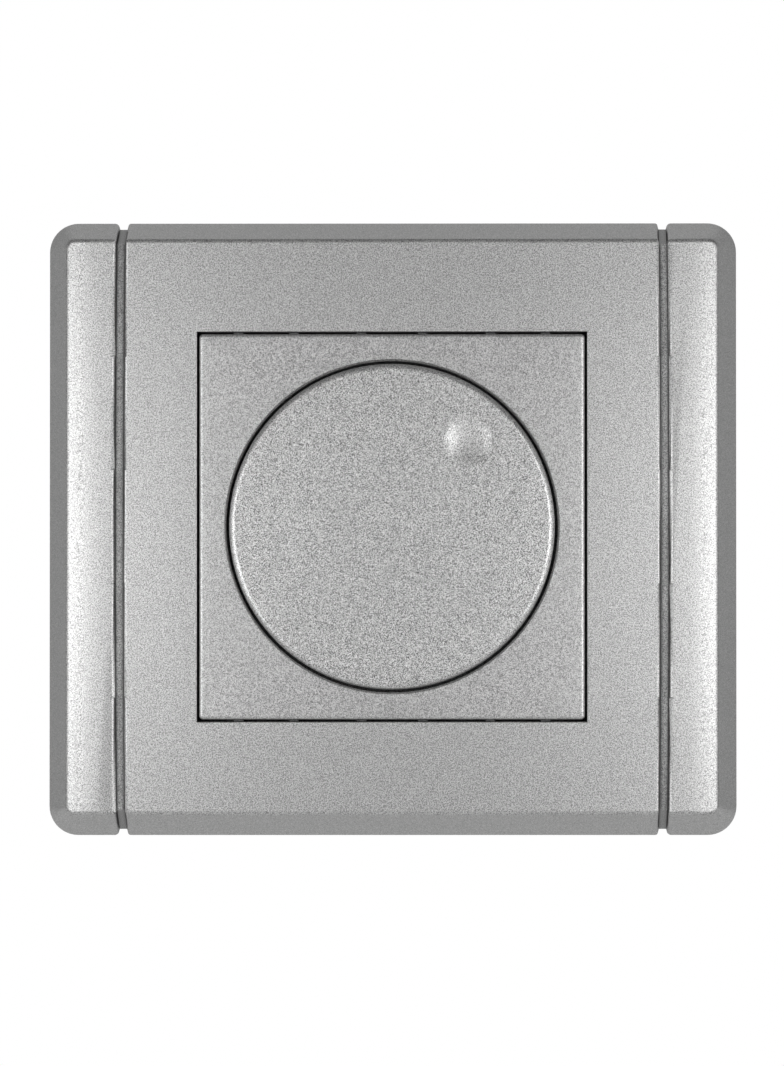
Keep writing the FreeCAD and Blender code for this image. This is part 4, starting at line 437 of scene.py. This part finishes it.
class Stock(Enum):
    """The finishes of the pieces. All but the knob's lacquer bear the name of a slot in the record."""

    LACQUER = FlakeLacquer()
    KNOB_LACQUER = FlakeLacquer(
        "knob_lacquer",
        colour=(0.388, 0.388, 0.386),
        flake_scale=6500.0,
        flake_contrast=0.8,
        fine_scale=10500.0,
    )
    GREY = Finish(
        "moulded_grey",
        (0.36, 0.37, 0.37),
        roughness=0.55,
        grain_scale=1800.0,
        grain_height=8e-6,
    )
    BLACK = Finish(
        "moulded_black",
        (0.028, 0.028, 0.03),
        roughness=0.48,
        grain_scale=1600.0,
        grain_height=9e-6,
    )
    WHITE = Finish("moulded_white", (0.78, 0.78, 0.75), roughness=0.4, grain_height=3e-6)
    PHENOLIC = Finish("phenolic", (0.3, 0.17, 0.08), roughness=0.5, grain_scale=900.0, grain_contrast=0.2)
    ZINC = Finish(
        "zinc_steel",
        (0.56, 0.57, 0.59),
        metallic=1.0,
        roughness=0.36,
        grain_scale=260.0,
        grain_contrast=0.12,
        grain_height=6e-6,
        roughness_spread=0.1,
        stretch=(1.0, 1.0, 9.0),
    )
    SPRING = Finish(
        "spring_steel",
        (0.42, 0.42, 0.44),
        metallic=1.0,
        roughness=0.28,
        stretch=(1.0, 1.0, 6.0),
    )
    TINNED = Finish("tinned_metal", (0.7, 0.71, 0.72), metallic=1.0, roughness=0.34, grain_scale=700.0)
    BRASS = Finish(
        "brass",
        (0.72, 0.53, 0.24),
        metallic=1.0,
        roughness=0.3,
        grain_scale=900.0,
        grain_contrast=0.1,
    )
    BOARD = Finish("board_green", (0.03, 0.16, 0.07), roughness=0.32, grain_scale=700.0, grain_contrast=0.2)
    SINK = Finish(
        "sink_aluminium",
        (0.72, 0.73, 0.74),
        metallic=1.0,
        roughness=0.4,
        stretch=(1.0, 1.0, 12.0),
    )
    POWDER = Finish(
        "iron_powder",
        (0.75, 0.68, 0.22),
        roughness=0.45,
        grain_scale=1500.0,
        grain_contrast=0.15,
    )
    COPPER = Finish("copper_wire", (0.62, 0.25, 0.09), metallic=0.9, roughness=0.26)
    YELLOW = Finish("capacitor_yellow", (0.78, 0.55, 0.05), roughness=0.28)
    RED = Finish("capacitor_red", (0.5, 0.05, 0.04), roughness=0.3)
    BLUE = Finish("resistor_blue", (0.16, 0.33, 0.52), roughness=0.38)


# The knob's speckle is stronger than that of the frame and the plate, though their slot is the same.
OWN_FINISHES = {"knob": Stock.KNOB_LACQUER.value.name}


class Paintbox:
    """Makes each finish once and hands it out by its name."""

    def __init__(self) -> None:
        """Builds every finish in stock."""
        self.by_name = {stock.value.name: stock.value.material() for stock in Stock}

    def dress(self, piece: bpy.types.Object, name: str) -> None:
        """Puts a finish on every material slot of a piece.

        Args:
            piece: The object to dress.
            name: The finish's name.
        """
        made = self.by_name[name]
        if not piece.material_slots:
            piece.data.materials.append(made)
        for place in piece.material_slots:
            place.material = made


@dataclass(frozen=True)
class SmoothShading:
    """Shades a CAD mesh smoothly over its rounded edges and sharply over the others.

    The normals that come with the mesh break up at its thin slivers, so they are dropped first.
    """

    sharp_angle: float = math.radians(32)
    weld_distance: float = 0.001 * MM

    def group(self) -> bpy.types.NodeTree:
        """Builds the node group that welds the seams and marks the sharp edges.

        Returns:
            The new geometry node group.
        """
        tree = bpy.data.node_groups.new("smooth_by_angle", "GeometryNodeTree")
        tree.interface.new_socket("Geometry", in_out="INPUT", socket_type="NodeSocketGeometry")
        tree.interface.new_socket("Geometry", in_out="OUTPUT", socket_type="NodeSocketGeometry")
        graph = Graph(tree)
        start = graph.add("NodeGroupInput")
        bare = graph.add("GeometryNodeRemoveAttribute")
        bare.inputs["Name"].default_value = "custom_normal"
        weld = graph.add("GeometryNodeMergeByDistance")
        weld.inputs["Distance"].default_value = self.weld_distance
        angle = graph.add("GeometryNodeInputMeshEdgeAngle")
        rounded = graph.add("FunctionNodeCompare", data_type="FLOAT", operation="LESS_THAN")
        rounded.inputs[1].default_value = self.sharp_angle
        faces = graph.add("GeometryNodeSetShadeSmooth", domain="FACE")
        edges = graph.add("GeometryNodeSetShadeSmooth", domain="EDGE")
        end = graph.add("NodeGroupOutput")
        graph.link(start.outputs[0], bare.inputs["Geometry"])
        graph.link(bare.outputs[0], weld.inputs["Geometry"])
        graph.link(weld.outputs[0], faces.inputs["Geometry"])
        graph.link(faces.outputs[0], edges.inputs["Geometry"])
        graph.link(angle.outputs["Unsigned Angle"], rounded.inputs[0])
        graph.link(rounded.outputs[0], edges.inputs["Shade Smooth"])
        graph.link(edges.outputs[0], end.inputs[0])
        return tree

    def put_on(self, piece: bpy.types.Object, group: bpy.types.NodeTree) -> None:
        """Adds the shading to a piece.

        Args:
            piece: The CAD node.
            group: The node group.
        """
        piece.modifiers.new("smooth_by_angle", "NODES").node_group = group
        weighted = piece.modifiers.new("weighted_normals", "WEIGHTED_NORMAL")
        weighted.mode = "FACE_AREA_WITH_ANGLE"
        weighted.keep_sharp = True


@dataclass
class CarriedNodes:
    """The CAD nodes that keep their shape and only get a finish and smooth shading."""

    frame: dict
    paints: Paintbox

    def slots(self) -> dict[str, str]:
        """Gives each node's material slot from the record."""
        return {row["node"]: row["material_slot"] for row in self.frame["record"]["subparts"]}

    def dress(self) -> None:
        """Dresses every node by its slot."""
        shading = SmoothShading()
        group = shading.group()
        for node, slot in self.slots().items():
            finish = OWN_FINISHES.get(node, slot)
            self.paints.dress(self.frame["nodes"][node], finish)
            shading.put_on(self.frame["nodes"][node], group)
            log.info("%s dressed in %s", node, finish)


@dataclass
class ClawScrew:
    """A claw screw with its real thread, in place of the plain CAD one.

    Lengths are in metres. The thread's flat share is that of its crest and of its root in half a pitch, and
    its run-out is counted in pitches. The head's round share is that of its height.
    """

    side: str
    paints: Paintbox
    pitch: float = 0.7 * MM
    thread_depth: float = 0.28 * MM
    flat_share: float = 0.12
    run_out: float = 1.2
    shank_radius: float = 1.5 * MM
    head_height: float = 1.6 * MM
    round_share: float = 1 / 3
    sharp_angle: float = math.radians(35)
    slot_half: float = 0.3 * MM
    slot_depth: float = 0.6 * MM
    steps: int = 28
    rows_per_turn: int = 10
    head_rows: int = 6
    node: str = field(init=False)

    def __post_init__(self) -> None:
        """Names the CAD node that this screw stands for."""
        self.node = "claw_screw_" + self.side

    def build(self) -> bpy.types.Object:
        """Builds the screw and puts it in the node's place.

        Returns:
            The finished piece.
        """
        low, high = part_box(self.node)
        centre_x = (low[0] + high[0]) / 2
        shank_start = low[1] + self.head_height
        work = bmesh.new()
        self.add_shank(work, shank_start, high[1])
        self.add_head(work, (high[0] - low[0]) / 2, low[1])
        for vertex in work.verts:
            vertex.co.x += centre_x
        bmesh.ops.recalc_face_normals(work, faces=work.faces)
        mesh = bpy.data.meshes.new("threaded_" + self.node)
        work.to_mesh(mesh)
        work.free()
        mesh.shade_smooth()
        mesh.set_sharp_from_angle(angle=self.sharp_angle)
        piece = bpy.data.objects.new("threaded_" + self.node, mesh)
        bpy.context.scene.collection.objects.link(piece)
        self.paints.dress(piece, "zinc_steel")
        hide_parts(self.node)
        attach(piece, self.side + "_claw_screw")
        return piece

    def join(self, work: bmesh.types.BMesh, rings: list[list[Vector]]) -> None:
        """Adds a closed shell through a row of rings.

        Args:
            work: The mesh being built.
            rings: Rings of equally many places, from one end to the other.
        """
        made = [[work.verts.new(place) for place in ring] for ring in rings]
        for near, far in zip(made, made[1:]):
            for step in range(len(near)):
                after = (step + 1) % len(near)
                work.faces.new((near[step], near[after], far[after], far[step]))
        work.faces.new(made[0])
        work.faces.new(made[-1])

    def thread_radius(self, turn: float, along: float, length: float) -> float:
        """Gives the shank's radius at one place of the thread.

        Args:
            turn: Angle round the shank as a share of a full turn.
            along: Distance from the shank's start.
            length: The shank's length.

        Returns:
            The radius there.
        """
        phase = (along / self.pitch - turn) % 1.0
        height = 1 - abs(2 * phase - 1)
        flank = min(max((height - self.flat_share) / (1 - 2 * self.flat_share), 0.0), 1.0)
        lead_out = min(max((length - along) / (self.run_out * self.pitch), 0.0), 1.0)
        return self.shank_radius - self.thread_depth * (1 - flank * lead_out)

    def add_shank(self, work: bmesh.types.BMesh, start: float, end: float) -> None:
        """Adds the threaded shank.

        Args:
            work: The mesh being built.
            start: Where the shank starts along Y.
            end: Where the shank ends along Y.
        """
        length = end - start
        rows = int(length / self.pitch * self.rows_per_turn)
        rings = []
        for row in range(rows + 1):
            along = length * row / rows
            ring = []
            for step in range(self.steps):
                angle = 2 * math.pi * step / self.steps
                radius = self.thread_radius(step / self.steps, along, length)
                ring.append(Vector((radius * math.cos(angle), start + along, -radius * math.sin(angle))))
            rings.append(ring)
        self.join(work, rings)

    def head_radius_at(self, radius: float, depth: float) -> float:
        """Gives the rounded head's radius at a depth below its face.

        Args:
            radius: The head's full radius.
            depth: Distance from the head's face.

        Returns:
            The radius there.
        """
        share = max(0.0, 1 - 2 * depth / self.head_height)
        return radius - self.head_height * self.round_share * (1 - math.sqrt(1 - share * share))

    def head_ring(self, radius: float, place: float, angles: Sequence[float], side: int) -> list[Vector]:
        """Gives one ring of the head.

        Args:
            radius: The ring's radius.
            place: The ring's place along Y.
            angles: The angles of its points.
            side: 1 to go round one way from +X and -1 the other way.

        Returns:
            The ring's points.
        """
        return [Vector((radius * math.cos(a), place, side * radius * math.sin(a))) for a in angles]

    def add_head(self, work: bmesh.types.BMesh, radius: float, front: float) -> None:
        """Adds the pan head: a round base below the slot and a half-round cap on each side of it.

        Args:
            work: The mesh being built.
            radius: The head's radius.
            front: The head's face along Y.
        """
        base = []
        for depth in (self.slot_depth, self.head_height / 2, self.head_height):
            reach = self.head_radius_at(radius, depth)
            angles = [2 * math.pi * step / self.steps for step in range(self.steps)]
            base.append(self.head_ring(reach, front + depth, angles, 1))
        self.join(work, base)
        for side in (-1, 1):
            cap = []
            for row in range(self.head_rows + 1):
                depth = self.slot_depth * (row / self.head_rows) ** 2
                reach = self.head_radius_at(radius, depth)
                first = math.asin(self.slot_half / reach)
                span = math.pi - 2 * first
                angles = [first + span * step / self.steps for step in range(self.steps + 1)]
                cap.append(self.head_ring(reach, front + depth, angles, side))
            self.join(work, cap)


@dataclass
class ReturnSpring:
    """The switch's return spring, which in the real switch shortens as the knob is pushed; here it keeps
    its shape. Lengths are in metres.
    """

    frame: dict
    paints: Paintbox
    travel: float = 1.0 * MM
    node: str = "return_spring"

    def build(self) -> bpy.types.Object:
        """Copies the CAD spring into a piece with a mesh of its own.

        Returns:
            The finished piece.
        """
        plain_spring = self.frame["nodes"][self.node]
        piece = bpy.data.objects.new("pressed_" + self.node, plain_spring.data.copy())
        piece.matrix_world = plain_spring.matrix_world
        bpy.context.scene.collection.objects.link(piece)
        self.paints.dress(piece, "spring_steel")
        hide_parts(self.node)
        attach(piece, "base")
        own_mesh(piece)
        return piece


class Side(Enum):
    """The side of the object that a lamp stands on."""

    LEFT = -1
    MIDDLE = 0
    RIGHT = 1


@dataclass(frozen=True)
class Softbox:
    """A square soft lamp that faces the object. Lengths are in metres, the power in watts."""

    name: str
    aside: float
    above: float
    advance: float
    size: float
    power: float

    def sides(self) -> tuple[Side, ...]:
        """Gives both sides for a lamp that stands aside, and otherwise the middle."""
        return (Side.LEFT, Side.RIGHT) if self.aside else (Side.MIDDLE,)


SOFTBOXES = (
    Softbox("front", 0.12, 0.0, 0.2, 0.16, 0.12),
    Softbox("wing", 0.2, 0.0, 0.1, 0.16, 0.13),
    Softbox("near", 0.08, 0.0, 0.12, 0.07, 0.06),
    Softbox("top", 0.0, 0.16, 0.16, 0.24, 0.05),
    Softbox("back", 0.0, 0.16, -0.19, 0.2, 0.03),
)


@dataclass
class Studio:
    """Floor, lamps, world and camera. Lengths are in metres and angles in degrees.

    What shiny faces mirror goes by the direction along Y, from -1 in front of the object to 1 behind it:
    a dim room up to room_end, a grey surround from its start to its end, and the white backdrop beyond.
    """

    target: Vector
    camera_distance: float = 1.4
    camera_azimuth: float = 0.7
    camera_elevation: float = -1.8
    pixels_per_metre: float = 7680.0
    aim_drop_pixels: float = 6.3
    sensor: float = 36.0
    clip_start: float = 0.05
    clip_end: float = 50.0
    floor_drop: float = 0.2
    floor_size: float = 3.0
    paper_colour: Colour = (0.82, 0.82, 0.82)
    paper_glow: float = 0.6
    room: float = 0.04
    surround: float = 0.34
    ambient: float = 0.14
    room_end: float = -0.2
    surround_start: float = 0.2
    surround_end: float = 0.84
    backdrop_start: float = 0.97

    def build(self) -> None:
        """Sets up everything round the object."""
        self.add_world()
        self.add_floor()
        for box in SOFTBOXES:
            for side in box.sides():
                self.add_lamp(box, side)
        self.add_camera()

    def add_world(self) -> None:
        """Adds the world: white where it is seen, grey round the object and a dim room in front of it."""
        world = bpy.data.worlds.new("studio_world")
        world.use_nodes = True
        graph = Graph(world.node_tree)
        rays = graph.add("ShaderNodeLightPath").outputs
        seen = graph.maths("MAXIMUM", rays["Is Camera Ray"], rays["Is Transmission Ray"])
        direction = graph.add("ShaderNodeSeparateXYZ")
        graph.link(graph.add("ShaderNodeTexCoord").outputs["Generated"], direction.inputs[0])
        stops = (
            (self.room_end, self.room),
            (self.surround_start, self.surround),
            (self.surround_end, self.surround),
            (self.backdrop_start, 1.0),
        )
        levels = graph.levels(direction.outputs["Y"], stops)
        glossy = graph.maths("MULTIPLY", rays["Is Glossy Ray"], levels)
        diffuse = graph.maths("MULTIPLY", rays["Is Diffuse Ray"], self.ambient)
        strength = graph.maths("MAXIMUM", seen, graph.maths("ADD", glossy, diffuse))
        background = graph.add("ShaderNodeBackground")
        background.inputs["Color"].default_value = rgba((1.0, 1.0, 1.0))
        graph.link(strength, background.inputs["Strength"])
        graph.link(background.outputs[0], graph.add("ShaderNodeOutputWorld").inputs[0])
        bpy.context.scene.world = world

    def add_floor(self) -> None:
        """Adds the pale floor below the object."""
        half = self.floor_size / 2
        low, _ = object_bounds()
        height = low[2] - self.floor_drop
        corners = [(x * half, y * half, height) for x, y in ((-1, -1), (1, -1), (1, 1), (-1, 1))]
        mesh = bpy.data.meshes.new("floor")
        mesh.from_pydata(corners, [], [(0, 1, 2, 3)])
        floor = bpy.data.objects.new("floor", mesh)
        bpy.context.scene.collection.objects.link(floor)
        mesh.materials.append(self.floor_paper())
        floor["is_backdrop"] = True

    def floor_paper(self) -> bpy.types.Material:
        """Builds the floor's pale paper, which keeps shadows and isn't seen from below.

        Returns:
            The new material.
        """
        made = bpy.data.materials.new("floor_paper")
        made.use_nodes = True
        graph = Graph(made.node_tree)
        paper = graph.add("ShaderNodeBsdfDiffuse")
        paper.inputs["Color"].default_value = rgba(self.paper_colour)
        glow = graph.add("ShaderNodeEmission")
        rays = graph.add("ShaderNodeLightPath").outputs
        mirrored = graph.maths("MAXIMUM", rays["Is Glossy Ray"], rays["Is Transmission Ray"])
        seen = graph.maths("MAXIMUM", rays["Is Camera Ray"], mirrored)
        graph.link(graph.maths("MULTIPLY", seen, self.paper_glow), glow.inputs["Strength"])
        lit = graph.add("ShaderNodeAddShader")
        graph.link(paper.outputs[0], lit.inputs[0])
        graph.link(glow.outputs[0], lit.inputs[1])
        sides = graph.add("ShaderNodeMixShader")
        graph.link(graph.add("ShaderNodeNewGeometry").outputs["Backfacing"], sides.inputs[0])
        graph.link(lit.outputs[0], sides.inputs[1])
        graph.link(graph.add("ShaderNodeBsdfTransparent").outputs[0], sides.inputs[2])
        graph.link(sides.outputs[0], graph.add("ShaderNodeOutputMaterial").inputs[0])
        return made

    def add_lamp(self, box: Softbox, side: Side) -> None:
        """Adds one soft lamp.

        Args:
            box: The lamp to add.
            side: Where it stands.
        """
        place = self.target + Vector((side.value * box.aside, -box.advance, box.above))
        name = "%s_softbox_%s" % (box.name, side.name.lower())
        data = bpy.data.lights.new(name, "AREA")
        data.shape = "SQUARE"
        data.size = box.size
        data.energy = box.power
        lamp = bpy.data.objects.new(name, data)
        lamp.location = place
        lamp.rotation_mode = "QUATERNION"
        lamp.rotation_quaternion = (self.target - place).to_track_quat("-Z", "Y")
        lamp.visible_camera = False
        bpy.context.scene.collection.objects.link(lamp)

    def add_camera(self) -> None:
        """Adds the camera at the photograph's viewing angle."""
        azimuth = math.radians(self.camera_azimuth)
        elevation = math.radians(self.camera_elevation)
        back = Vector(
            (
                math.sin(azimuth) * math.cos(elevation),
                -math.cos(azimuth) * math.cos(elevation),
                math.sin(elevation),
            )
        )
        data = bpy.data.cameras.new("photo_camera")
        data.sensor_width = self.sensor
        focal_pixels = self.pixels_per_metre * self.camera_distance
        data.lens = focal_pixels * self.sensor / max(PHOTO_WIDTH, PHOTO_HEIGHT)
        camera = bpy.data.objects.new("photo_camera", data)
        aim = self.target - Vector((0.0, 0.0, self.aim_drop_pixels / self.pixels_per_metre))
        camera.location = self.target + back * self.camera_distance
        camera.rotation_mode = "QUATERNION"
        camera.rotation_quaternion = (aim - camera.location).to_track_quat("-Z", "Y")
        data.clip_start = self.clip_start
        data.clip_end = self.clip_end
        bpy.context.scene.collection.objects.link(camera)
        bpy.context.scene.camera = camera


def main() -> None:
    """Builds the dressed dimmer and its studio."""
    logging.basicConfig(level=logging.INFO)
    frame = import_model()
    paints = Paintbox()
    CarriedNodes(frame, paints).dress()
    for side in ("right", "left"):
        piece = ClawScrew(side, paints).build()
        log.info("%s built", piece.name)
    log.info("%s built", ReturnSpring(frame, paints).build().name)
    face_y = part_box("cover_frame")[0][1]
    Studio(Vector((0.0, face_y, 0.0))).build()
    bpy.context.scene.view_settings.view_transform = "Standard"


if __name__ == "__main__":
    main()
